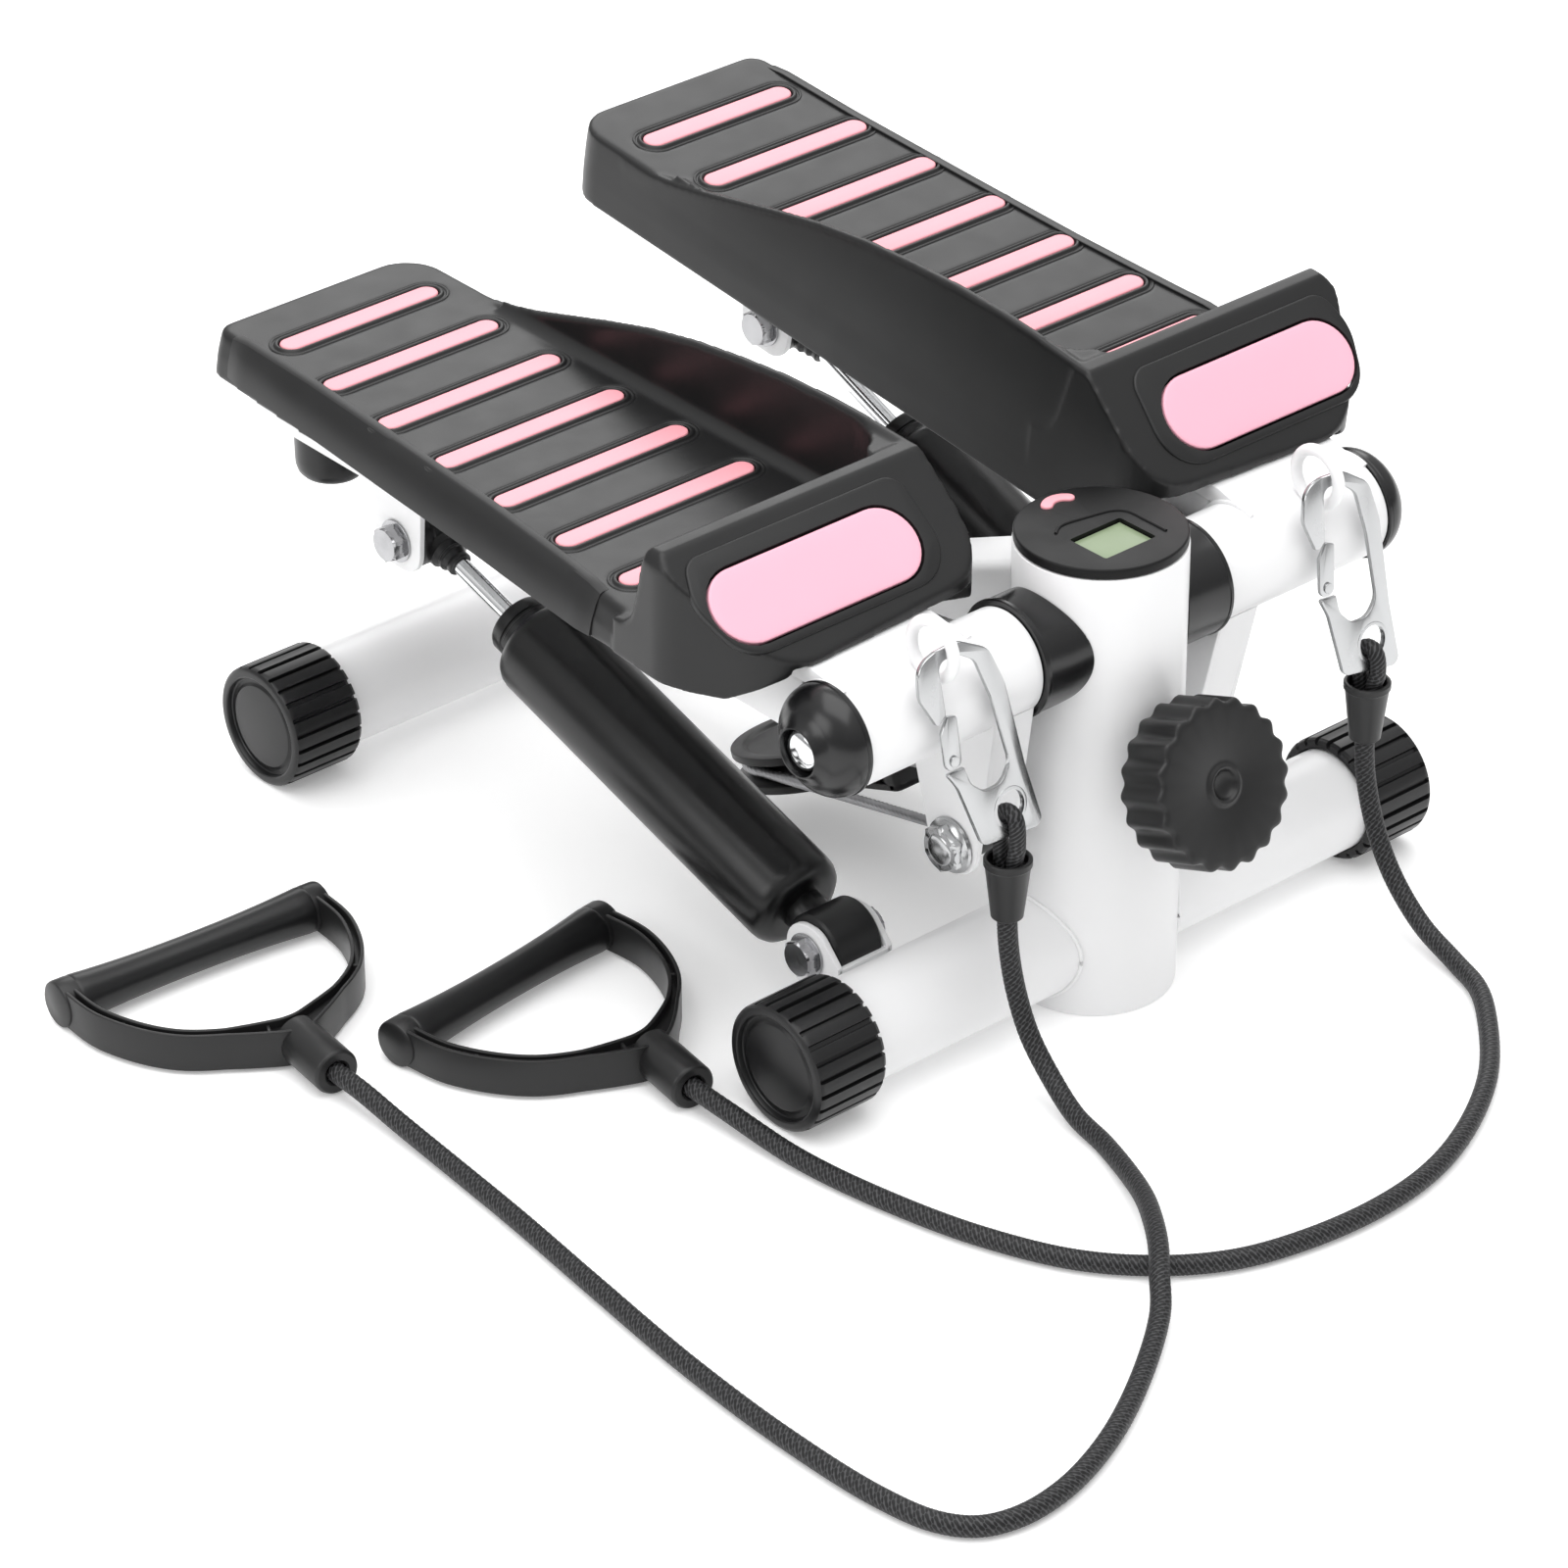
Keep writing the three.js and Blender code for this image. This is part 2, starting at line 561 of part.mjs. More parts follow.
function pedalShell() {
  const side = [
    [13.5, 27], [27, 14], [32, SOLE + 6], [80, SOLE], [414, SOLE], [414, DECK_TOP], [88, DECK_TOP],
    [82, 40], [72, GUARD_TOP[1]], [66, GUARD_TOP[1]], [13.5, 28.5],
  ];
  const body = plate(side, "x", 40, 200).intersect(plate(shellPlan(), "z", -20, 90));
  const skirtLift = plate([[45, SOLE - 30], [45, SOLE], [196, 14], [196, -40]], "y", 0, 420);
  const hollow = plate(shellPlan(4), "z", -20, DECK_TOP - DECK_THICK)
    .intersect(block([40, 200], [92, 408], [-20, 60]));
  const frontHollow = block([54, 160], [-10, 93], [-20, 26.9]);
  const wallTop = [[343, 31], [330, 36], [300, 43], [270, 52], [240, 60], [210, 66], [180, 70], [150, 73],
    [120, 74], [100, 74], [70, 71]];
  const wall = plate([...wallTop, [70, 20], [350, 20], [350, 31]], "x", 45, 49.5);
  const slots = STRIP_V.map((v) => strip(v, STRIP_R + GAP, 20, 40));
  const padSeat = padStadium(PAD.radius + 1.2, -3.2, 6);
  return cut(join(body, wall), skirtLift, hollow, frontHollow, padSeat, ...slots);
}

// The strips grow longer towards the toe as the pedal widens.
function stripOuterU(v) {
  const longest = STRIP_V.at(-1);
  const share = (v - longest) / (STRIP_V[1] - longest);
  return v === STRIP_V[0] ? 143.6 : 165.4 - 12.7 * Math.pow(share, 1.6);
}

const strip = (v, radius, low, high) =>
  plate(stadium(STRIP_INNER_U, stripOuterU(v), v, radius, 4), "z", low, high);

// The toe pad lies on the guard's sloping face: across is +u, up the slope is the second axis.
function padStadium(radius, low, high, bevel = 0) {
  const slope = Math.atan2(GUARD_TOP[1] - 28.5, 66 - 13.5);
  const up = V3(0, Math.cos(slope), Math.sin(slope));
  const out = V3(0, -Math.sin(slope), Math.cos(slope));
  const shape = new THREE.ExtrudeGeometry(new THREE.Shape(stadium(-PAD.half, PAD.half, 0, radius, 8)), {
    depth: high - low - bevel,
    bevelEnabled: bevel > 0,
    bevelThickness: bevel,
    bevelSize: bevel,
    bevelOffset: -bevel,
    bevelSegments: 2,
  });
  shape.translate(0, 0, low);
  const matrix = new THREE.Matrix4().makeBasis(V3(1, 0, 0), up, out);
  matrix.setPosition(V3(PAD.u, ...PAD.origin));
  return solid(shape.applyMatrix4(matrix));
}

// Seven pink strips stand in the deck's slots, joined by one rib under the deck.
function treadInsert() {
  const strips = STRIP_V.map((v) => strip(v, STRIP_R, 24.2, DECK_TOP + STRIP_PROUD));
  const rib = block([100, 108], [STRIP_V.at(-1), STRIP_V[0]], [21.5, 24.7]);
  return join(rib, ...strips);
}

// The sleeve with the arm, cable lugs and damper lugs that are welded to it.
function sleeveArm() {
  const sleeve = bar([SLEEVE_X[0], 0, 0], [SLEEVE_X[1], 0, 0], TUBE_R, 28);
  const bore = bar([SLEEVE_X[0] - 1, 0, 0], [SLEEVE_X[1] + 1, 0, 0], TUBE_R - TUBE_WALL, 24);
  const flank = rounded(
    [[8, -9], [397, -9, 6], [397, 19.5, 4], [64, 19.5], [62, 26.4], [1, 26.4], [1, 20]], 2);
  const walls = [plate(flank, "x", ARM_U[0], ARM_U[0] + 3), plate(flank, "x", ARM_U[1] - 3, ARM_U[1])];
  const top = block(ARM_U, [14, 397], [16.5, 19.5]);
  const flange = block(ARM_U, [1, 62], [23.4, 26.4]);
  const lug = rounded([[-20, -12], [-11, -85], [-7, -97, 12], [16, -97, 12], [46, 4], [20, 8]], 3);
  const lugs = LUG_U.map(([a, b]) => plate(lug, "x", a, b));
  const web = plate([[20, -15], [23, -15], [14, -62], [11, -62]], "x", LUG_U[0][0], LUG_U[1][1]);
  const [v, w] = DAMPER_TOP;
  const hanger = rounded([[v - 24, 17], [v - 15, w - 14, 9], [v + 15, w - 14, 9], [v + 24, 17]], 2);
  const hangers = [plate(hanger, "x", 96, 99), plate(hanger, "x", 125, 128)];
  return cut(
    join(sleeve, ...walls, top, flange, ...lugs, web, ...hangers),
    bore,
    bar([50, ...LUG_BOLT], [90, ...LUG_BOLT], 5.5, 12),
    bar([90, v, w], [134, v, w], 5.5, 12),
  );
}

// A domed end cap with the axle's end in its middle.
function outerCap() {
  const bore = AXLE_R + 0.7;
  const plug = TUBE_R - TUBE_WALL - 0.3;
  const profile = [
    [bore, -12], [plug, -12], [plug, 0.3], [25.5, 0.3], [25.5, 2.2], [24.8, 6], [22.6, 12.5], [17, 18.3],
    [bore + 1.5, 20.3], [bore, 19.4], [bore, -12],
  ];
  return turned(profile, [SLEEVE_X[1], 0, 0], [1, 0, 0], 20);
}

// A bolt from a head to a nut along X. The hexagons are six-sided bars.
function bolt(x0, x1, y, z, shank, headR, headLength, nutLength) {
  const at = (x) => [x, y, z];
  return join(
    bar(at(x0 - headLength), at(x0), headR, 6),
    bar(at(x0 - 0.5), at(x1 + 0.5), shank, 12),
    bar(at(x1), at(x1 + nutLength), headR, 6),
  );
}

// The cable bolt has a broad round head outside its lugs.
function lugBolt() {
  const profile = [
    [0, 54.2], [8, 54.2], [8, 55.7], [5, 55.7], [5, 79.3], [13, 79.3], [13, 82], [10.5, 83.4], [10, 87],
    [6, 87], [6, 84.8], [0, 84.8],
  ];
  return turned(profile, [0, ...LUG_BOLT], [1, 0, 0], 14);
}

function bumper() {
  const profile = [[0, -48], [13.5, -48], [16, -45.5], [17, -40], [17.6, 16], [0, 16]];
  return turned(profile, [...BUMPER, 0], [0, 0, 1], 20);
}

// A welded ring stands on the sleeve, its axis along X.
function cordRing(name) {
  const t = degrees(-REST_DEG[name]);
  const [y, z] = [RING_CENTRE[0], RING_CENTRE[1] - PIVOT_Z];
  const centre = new THREE.Vector2(y, z).rotateAround(new THREE.Vector2(), t);
  const ring = new THREE.TorusGeometry(RING_R, RING_TUBE, 6, 20).rotateY(Math.PI / 2);
  ring.translate(RING_X, centre.x, centre.y);
  return cut(solid(ring), bar([90, 0, 0], [140, 0, 0], TUBE_R + GAP, 32));
}

for (const [name, side] of Object.entries(SIDES)) {
  const pedal = new THREE.Group();
  pedal.position.z = PIVOT_Z;
  pedal.rotation.x = degrees(REST_DEG[name]);
  const mirror = new THREE.Group();
  mirror.scale.x = side;
  pedal.add(mirror);
  machine.add(pedal);
  mirror.add(mesh(`sleeve_arm_${name}`, sleeveArm(), WHITE));
  mirror.add(mesh(`outer_cap_${name}`, outerCap(), GLOSS_BLACK));
  mirror.add(mesh(`cord_ring_${name}`, cordRing(name), WHITE));
  mirror.add(mesh(`pedal_shell_${name}`, pedalShell(), BLACK));
  mirror.add(mesh(`toe_pad_${name}`, padStadium(PAD.radius, -2.2, 0.8, 0.6), PINK));
  mirror.add(mesh(`tread_strips_${name}`, treadInsert(), PINK));
  mirror.add(mesh(`bumper_${name}`, bumper(), RUBBER));
  mirror.add(mesh(`lug_bolt_${name}`, lugBolt(), CHROME));
  const x = side * DAMPER_U;
  const upperBolt = bolt(x - 16.3, x + 16.3, ...DAMPER_TOP, 4, 9, 9, 7);
  pedal.add(mesh(`damper_bolt_upper_${name}`, upperBolt, CHROME));
}

// ---------------------------------------------------------------- dampers
// The base bracket: a plate against the tube and two round-ended ears.
function damperBracket(x) {
  const [y, z] = DAMPER_FOOT;
  const back = TUBE_R + GAP;
  const base = block([x - EAR_X[1], x + EAR_X[1]], [back, back + 2.6], [20, 54]);
  const ear = rounded([
    [back, 20], [y + 3, 22, 6], [y + 14, z - 9, 11], [y + 14, z + 14, 13], [y - 14, z + 14, 6], [back, 50],
  ], 4);
  const ears = [-1, 1].map((way) => {
    const edges = EAR_X.map((face) => x + way * face).sort((a, b) => a - b);
    return plate(ear, "x", ...edges);
  });
  return cut(join(base, ...ears), bar([x - 30, y, z], [x + 30, y, z], 5.5, 14));
}

function damperCylinder(x, dir) {
  const r = DAMPER_R;
  const [low, high] = DAMPER_BODY;
  const profile = [
    [0, 12], [9, 12], [9, low], [r - 5, low], [r, low + 6], [r, high - 5], [r - 4, high], [15, high],
    [15, DAMPER_NECK], [6.6, DAMPER_NECK], [6.6, high - 6], [r - 4, high - 6], [r - 4, low + 12],
    [0, low + 12],
  ];
  const at = (shift) => [x + shift, ...DAMPER_FOOT];
  const eye = bar(at(-DAMPER_EYE.half), at(DAMPER_EYE.half), DAMPER_EYE.radius, 20);
  return cut(join(turned(profile, at(0), dir, 24), eye), bar(at(-20), at(20), 5 + GAP, 12));
}

function damperRod(x, dir, top) {
  const length = V3(...dir).length();
  const profile = [
    [0, 120], [6, 120], [6, length - 24], [9, length - 23], [9, length - 10], [0, length - 10],
  ];
  const at = (shift) => [x + shift, ...top];
  const eye = bar(at(-DAMPER_EYE.half), at(DAMPER_EYE.half), 15, 18);
  return cut(join(turned(profile, [x, ...DAMPER_FOOT], dir, 16), eye), bar(at(-20), at(20), 9.4, 16));
}

for (const [name, side] of Object.entries(SIDES)) {
  const x = side * DAMPER_U;
  const top = pedalPoint(name, DAMPER_TOP);
  const dir = [0, top[0] - DAMPER_FOOT[0], top[1] - DAMPER_FOOT[1]];
  const lowerBolt = bolt(x - 16.3, x + 16.3, ...DAMPER_FOOT, 5, 9, 8, 7);
  machine.add(mesh(`damper_bracket_${name}`, damperBracket(x), WHITE));
  machine.add(mesh(`damper_bolt_lower_${name}`, lowerBolt, CHROME));
  machine.add(mesh(`damper_cylinder_${name}`, damperCylinder(x, dir), GLOSS_BLACK));
  machine.add(mesh(`damper_rod_${name}`, damperRod(x, dir, top), CHROME));
}

// ---------------------------------------------------------------- snap hooks
function hookMatrix(name) {
  const lean = degrees(HOOK_LEAN);
  const down = V3(0, -Math.sin(lean), -Math.cos(lean));
  const right = V3(1, 0, 0);
  const out = right.clone().cross(down);
  const turn = new THREE.Matrix4().makeRotationZ(degrees(HOOK_TURN[name]));
  const place = new THREE.Matrix4().makeBasis(right, down, out);
  return place.setPosition(V3(SIDES[name] * RING_X, ...HOOK_TOP)).multiply(turn);
}

function hookPlate(outline, name, thick) {
  const shape = extruded(rounded(outline, 3), thick).translate(0, 0, -thick / 2);
  return solid(shape.applyMatrix4(hookMatrix(name)));
}

function hook(name) {
  const [a, b, r] = HOOK_HOLE;
  const hole = new THREE.CylinderGeometry(r, r, 20, 16).rotateX(Math.PI / 2).translate(a, b, 0);
  return cut(hookPlate(HOOK_BODY, name, HOOK_THICK), solid(hole.applyMatrix4(hookMatrix(name))));
}

function ferrule(name) {
  const [x, y, z] = FERRULE[name];
  const top = FERRULE_LENGTH;
  const profile = [[0, 0], [7, 0], [7.2, 1.5], [10.2, top - 1.5], [10.5, top - 0.5], [10, top], [0, top]];
  return turned(profile, [x, y, z - FERRULE_LENGTH], [0, 0, 1], 18);
}

for (const name of Object.keys(SIDES)) {
  machine.add(mesh(`snap_hook_${name}`, hook(name), CHROME));
  machine.add(mesh(`hook_gate_${name}`, hookPlate(HOOK_GATE, name, HOOK_THICK - 0.6), CHROME));
  machine.add(mesh(`ferrule_${name}`, ferrule(name), BLACK));
  machine.add(mesh(`cord_${name}`, swept(CORD_ROUTE[name], circlePoints(CORD_R, 8), 42), BRAID));
}

// ---------------------------------------------------------------- handles
// The bow is drawn on the floor plan in a frame with the grip along +x and the hub at -y.
function handleFrame({ grip }) {
  const [a, b] = grip.map((p) => new THREE.Vector2(...p));
  const across = b.clone().sub(a);
  const span = across.length();
  const matrix = new THREE.Matrix4().makeRotationZ(across.angle());
  matrix.setPosition(V3((a.x + b.x) / 2, (a.y + b.y) / 2, HANDLE_Z));
  return { matrix, span };
}

function handleBow(handle) {
  const { matrix, span } = handleFrame(handle);
  const inverse = matrix.clone().invert();
  const local = (p) => V3(p[0], p[1], HANDLE_Z).applyMatrix4(inverse);
  const hub = handle.hub.map(local);
  const end = span / 2;
  const wide = 7;
  const curve = new THREE.CatmullRomCurve3([
    V3(-end - 5, 2, 0), V3(-end - 3, -30, 0), V3(-end + 14, -62, 0), V3(hub[0].x - 13, hub[0].y + 9, 0),
    V3(hub[0].x, hub[0].y + 5, 0), V3(hub[0].x + 13, hub[0].y + 9, 0), V3(end - 14, -62, 0),
    V3(end + 3, -30, 0), V3(end + 5, 2, 0),
  ], false, "centripetal");
  const points = curve.getPoints(18);
  const offset = (way) => points.map((p, i) => {
    const ahead = points[Math.min(i + 1, points.length - 1)];
    const behind = points[Math.max(i - 1, 0)];
    const t = ahead.clone().sub(behind).normalize();
    return new THREE.Vector2(p.x - t.y * way * (wide / 2), p.y + t.x * way * (wide / 2));
  });
  const outline = [...offset(1), ...offset(-1).reverse()];
  const half = HANDLE_THICK / 2;
  const ends = [-1, 1].map((way) =>
    bar([way * (end + 1.2), 0, 0], [way * (end + 9), 0, 0], half + 1.6, 20));
  const hubBar = bar([hub[0].x, hub[0].y + 4, 0], hub[1].toArray(), HUB_R, 20);
  const bow = join(plate(outline, "z", -half, half), ...ends, hubBar);
  const pins = [-1, 1].map((way) => bar([way * (end - 6), 0, 0], [way * (end + 4), 0, 0], 5, 16));
  return solid(geometryOf(join(bow, ...pins)).applyMatrix4(matrix));
}

function handleGrip(handle) {
  const { matrix, span } = handleFrame(handle);
  const half = span / 2 + 0.9;
  const profile = [[5.5, -half], [GRIP_R + 0.6, -half], [GRIP_R, 0], [GRIP_R + 0.6, half], [5.5, half],
    [5.5, -half]];
  return solid(geometryOf(turned(profile, [0, 0, 0], [1, 0, 0], 20)).applyMatrix4(matrix));
}

for (const name of Object.keys(SIDES)) {
  machine.add(mesh(`handle_bow_${name}`, handleBow(HANDLE[name]), BLACK));
  machine.add(mesh(`handle_grip_${name}`, handleGrip(HANDLE[name]), GLOSS_BLACK));
}

export default machine;
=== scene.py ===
# A mini stepper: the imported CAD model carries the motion, and the pieces made here carry its looks.
# Lengths are written in millimetres and turned into metres where a mesh is made. Pedal pieces are
# written in pedal coordinates: u outwards, v towards the heel, w up, from the pivot axis.
import json
import math

import bmesh
import bpy
from mathutils import Matrix, Quaternion, Vector


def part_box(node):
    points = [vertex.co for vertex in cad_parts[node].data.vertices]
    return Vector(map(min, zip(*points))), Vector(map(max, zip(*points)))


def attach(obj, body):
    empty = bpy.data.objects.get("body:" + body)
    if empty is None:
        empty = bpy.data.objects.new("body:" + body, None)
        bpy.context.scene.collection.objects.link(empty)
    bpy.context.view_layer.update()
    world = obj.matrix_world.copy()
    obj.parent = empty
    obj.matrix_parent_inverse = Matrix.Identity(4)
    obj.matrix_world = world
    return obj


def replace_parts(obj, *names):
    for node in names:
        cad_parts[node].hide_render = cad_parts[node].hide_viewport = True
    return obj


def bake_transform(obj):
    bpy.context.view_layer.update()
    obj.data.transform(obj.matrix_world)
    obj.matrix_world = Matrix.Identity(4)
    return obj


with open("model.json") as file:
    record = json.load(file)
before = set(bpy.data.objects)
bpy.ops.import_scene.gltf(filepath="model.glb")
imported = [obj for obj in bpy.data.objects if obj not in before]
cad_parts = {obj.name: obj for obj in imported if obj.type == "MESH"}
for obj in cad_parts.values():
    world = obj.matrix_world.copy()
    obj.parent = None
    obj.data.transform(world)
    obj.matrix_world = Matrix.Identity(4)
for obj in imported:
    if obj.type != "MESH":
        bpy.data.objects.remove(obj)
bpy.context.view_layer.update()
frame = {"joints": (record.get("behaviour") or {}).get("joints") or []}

MM = 0.001
SIDES = {"left": -1, "right": 1}
JOINTS = {joint["name"]: joint for joint in frame["joints"]}


def mm_box(node):
    low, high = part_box(node)
    return low / MM, high / MM


# ---------------------------------------------------------------- driving dimensions
POST_R = 38
POST_WALL = 2.5
POST_TOP = mm_box("post")[1].z
TUBE_R = 24
TUBE_WALL = 2
CAP_R = 29.3
CAP_LENGTH = 38
CAP_RIDGES = 24
REAR_Y = 372.8
BEAM_WIDTH = 43
BEAM_DEPTH = 40
BEAM_WALL = 2.5
BEAM_FRONT = Vector((0, 34, 200))
BEAM_REAR = Vector((0, 373, 49))
PIVOT_Z = JOINTS["pedal_left_step"]["pos_m"][2] / MM
REST_DEG = {"left": 0.93, "right": 6.64}  # heel end up is positive
SLEEVE_U = (55.3, 152.3)
ARM_U = (82, 152.2)
LUG_U = [(56, 59), (76, 79)]
DECK_TOP = 31
SOLE = -6
SOLE_EDGE = [(191, 100), (187, 142), (181, 200), (176, 261), (169, 341)]  # u, v of the skirt's foot
DECK_EDGE = [(184.5, 100), (178.8, 142), (172.4, 200), (167.7, 261), (162, 341)]
GUARD_TOP = (67, 72.5)
GUARD_FRONT = (13.5, 28.5)
PAD_U = 127.5
PAD_HALF = 38.4
PAD_R = 17.4
PAD_ORIGIN = (39.75, 50.5)
STRIP_V = [375, 331.6, 287.8, 243.7, 200.1, 156.2, 113.3]
STRIP_INNER_U = 66.5
STRIP_R = 5.5
LUG_BOLT = (4.2, -84.1)  # v, w
DAMPER_U = 112
DAMPER_TOP = (322, -53)  # v, w
DAMPER_FOOT = (43.5, 42)  # y, z
DAMPER_R = 23.5
ROD_R = 4.2
BOLT_HALF = 16.3
EAR_X = (13, 16)  # faces of a bracket's ear, from the damper's middle
BUMPER = (115.7, 385)
DISC_R = 37.6
DISC_TOP = 222.6
LCD_X = (-17.5, 12)
LCD_Y = (-21, 1.3)
BUTTON_DEG = 86.2
BUTTON_FROM_MIDDLE = 31.6
SCREW_DEG = 20
KNOB_FACE = Vector((0, -78.6, 130.7))
KNOB_R = 37.5
KNOB_THICK = 26
PULLEY_FROM_FACE = 271.4
PULLEY_R = 42
YOKE_FRONT = PULLEY_FROM_FACE - PULLEY_R - 22
GROOVE_R = 36
CABLE_R = 2.5
RING_X = 113
RING_CENTRE = (-17.5, 213.5)
RING_R = 12.75
RING_TUBE = 2.75
HOOK_THICK = 2.5
HOOK_LEAN = 9
HOOK_TOP = (-25, 213.5)
HOOK_TURN = {"left": 0, "right": 6.5}
# Hook outlines: x to the right, y downwards from the ring's centre, in the hook's own plane.
HOOK_BODY = [
    (-6, -4, 6), (7, -4.6, 14), (23, 4, 12), (30, 22, 20), (36.6, 62, 20), (44, 92.5, 4), (9, 90, 5),
    (-1, 60, 20), (-6.4, 51.6, 1), (3.4, 51.6), (6, 60, 8), (13, 66, 8), (23, 66, 8), (28.5, 58, 8),
    (22, 27, 20), (15, 7, 8), (5, 0.6, 4), (-5, 1.6, 4), (-3.6, 25, 2), (-8.5, 29.5, 2), (-17, 14, 9),
    (-16, -1, 9),
]
HOOK_GATE = [(-2.7, 26, 1), (2.2, 27.5, 1.5), (2.6, 50.8, 4), (-6.2, 50.8, 4), (-7, 33)]
HOOK_HOLE = (26, 78, 8.2)
CORD_R = 4.5
CORD_STEP = 0.75
LOOP_R = 3.7
LOOP_STEP = 0.6
FERRULE = {"left": Vector((-87.5, -38, 112)), "right": Vector((129, -38, 115))}
FERRULE_LENGTH = 29
CORD_ROUTE = {
    "left": [
        (-87.5, -38, 82.3), (-87, -39, 66), (-86, -43, 46), (-86, -52, 28), (-87, -67, 14),
        (-91, -86, 6.5), (-95, -108, 4.8), (-112, -147, 9), (-126, -168, 13), (-140, -186, 14.4),
        (-152, -199, 12.5), (-165, -213, 8), (-199, -237, 4.8), (-239, -259, 4.8), (-273, -270, 4.8),
        (-298, -271, 4.8), (-314, -265, 4.8), (-324, -252, 4.8), (-330, -226, 4.8), (-332, -172, 4.8),
        (-329, -110, 4.8), (-322, -45, 4.8), (-315, 15, 4.8), (-311, 60, 5), (-309, 100, 7),
        (-308.7, 125, 10), (-308.6, 142.2, 11),
    ],
    "right": [
        (129, -38, 85.2), (128.6, -40, 68), (127.5, -48, 46), (125.5, -62, 27), (123, -83, 12),
        (119, -108, 5.5), (112, -128, 4.8), (95, -150, 4.8), (63, -180, 4.8), (23, -203, 4.8),
        (-11, -214, 4.8), (-46, -217, 4.8), (-83, -213, 4.8), (-113, -204, 4.8), (-139, -187, 4.8),
        (-162, -161, 4.8), (-180, -122, 4.8), (-192, -76, 4.8), (-199, -30, 5.5), (-201.8, 12, 9.5),
        (-202.4, 32.2, 11),
    ],
}
HANDLE_Z = 11
HANDLE = {
    "left": {"grip": [(-358, 266), (-238, 257)], "hub": [(-305, 171), (-308.6, 143)]},
    "right": {"grip": [(-268, 145), (-153, 159)], "hub": [(-198, 61), (-202.4, 33)]},
}


# ---------------------------------------------------------------- camera
CAMERA_AZIMUTH, CAMERA_ELEVATION, CAMERA_ROLL = -41.33, 30.85, -0.2
CAMERA_TARGET = (-287.1, -122.3, 264.75)
CAMERA_DISTANCE = 2450.8
CAMERA_LENS = 147.1


def make_camera():
    azimuth, elevation = math.radians(CAMERA_AZIMUTH), math.radians(CAMERA_ELEVATION)
    back = Vector((
        math.sin(azimuth) * math.cos(elevation),
        -math.cos(azimuth) * math.cos(elevation),
        math.sin(elevation),
    ))
    data = bpy.data.cameras.new("camera")
    data.sensor_width = 36
    data.lens = CAMERA_LENS
    data.clip_start = 0.05
    data.clip_end = 50
    camera = bpy.data.objects.new("camera", data)
    camera.rotation_mode = "QUATERNION"
    roll = Quaternion((0, 0, 1), math.radians(CAMERA_ROLL))
    camera.rotation_quaternion = (-back).to_track_quat("-Z", "Y") @ roll
    camera.location = Vector(CAMERA_TARGET) * MM + back * CAMERA_DISTANCE * MM
    bpy.context.scene.collection.objects.link(camera)
    bpy.context.scene.camera = camera


make_camera()


# ---------------------------------------------------------------- shapes
# A shape is a pair: a list of points in millimetres and a list of faces.
def ring_points(radius, sides):
    turn = 2 * math.pi / sides
    return [Vector((radius * math.cos(k * turn), radius * math.sin(k * turn), 0)) for k in range(sides)]


def skin(rings, loop=False):
    """Faces between neighbouring rings of points. A ring of one point closes an end."""
    points, faces, starts = [], [], []
    for ring in rings:
        starts.append(len(points))
        points.extend(Vector(p) for p in ring)
    pairs = [(i, i + 1) for i in range(len(rings) - 1)]
    if loop:
        pairs.append((len(rings) - 1, 0))
    for a, b in pairs:
        count_a, count_b = len(rings[a]), len(rings[b])
        count = max(count_a, count_b)
        for k in range(count):
            after = (k + 1) % count
            corners = [
                starts[a] + k % count_a, starts[a] + after % count_a,
                starts[b] + after % count_b, starts[b] + k % count_b,
            ]
            face = [c for i, c in enumerate(corners) if c not in corners[:i]]
            if len(face) > 2:
                faces.append(face)
    return points, faces


def capped(rings):
    """A skin over rings of one size, with a flat face on the first ring and on the last."""
    points, faces = skin(rings)
    count = len(rings[0])
    faces += [list(range(count))[::-1], list(range(len(points) - count, len(points)))]
    return points, faces


def merged(*shapes):
    points, faces = [], []
    for shape_points, shape_faces in shapes:
        start = len(points)
        points.extend(shape_points)
        faces.extend([start + k for k in face] for face in shape_faces)
    return points, faces


def moved(shape, matrix):
    return [matrix @ p for p in shape[0]], shape[1]


def basis(x, y, z, origin):
    """The matrix whose columns are three axes and an origin."""
    matrix = Matrix.Identity(4)
    for column, axis in enumerate((x, y, z, origin)):
        for row in range(3):
            matrix[row][column] = axis[row]
    return matrix


def frame_along(origin, direction):
    """The matrix that puts +Z on a direction and the origin on a point."""
    turn = Vector(direction).to_track_quat("Z", "Y").to_matrix().to_4x4()
    return Matrix.Translation(Vector(origin)) @ turn


def lathe(profile, sides=64, loop=False, radius_at=None):
    """A turned shape about +Z from (radius, height) pairs.

    radius_at(radius, height, angle) may change the radius round the turn.
    """
    rings = []
    for radius, height in profile:
        if radius < 1e-6:
            rings.append([Vector((0, 0, height))])
            continue
        ring = []
        for k in range(sides):
            angle = 2 * math.pi * k / sides
            r = radius_at(radius, height, angle) if radius_at else radius
            ring.append(Vector((r * math.cos(angle), r * math.sin(angle), height)))
        rings.append(ring)
    return skin(rings, loop)


def turned(profile, origin, direction, **options):
    return moved(lathe(profile, **options), frame_along(origin, direction))


def soft(profile, radius=0.6, steps=3):
    """A (radius, height) profile with each inner corner rounded."""
    out = [profile[0]]
    for before, here, after in zip(profile, profile[1:], profile[2:]):
        b, h, a = Vector(before), Vector(here), Vector(after)
        reach = min(radius, (b - h).length * 0.45, (a - h).length * 0.45)
        start, end = h + (b - h).normalized() * reach, h + (a - h).normalized() * reach
        for k in range(steps + 1):
            t = k / steps
            point = start * (1 - t) ** 2 + h * 2 * t * (1 - t) + end * t ** 2
            out.append((point.x, point.y))
    out.append(profile[-1])
    return out


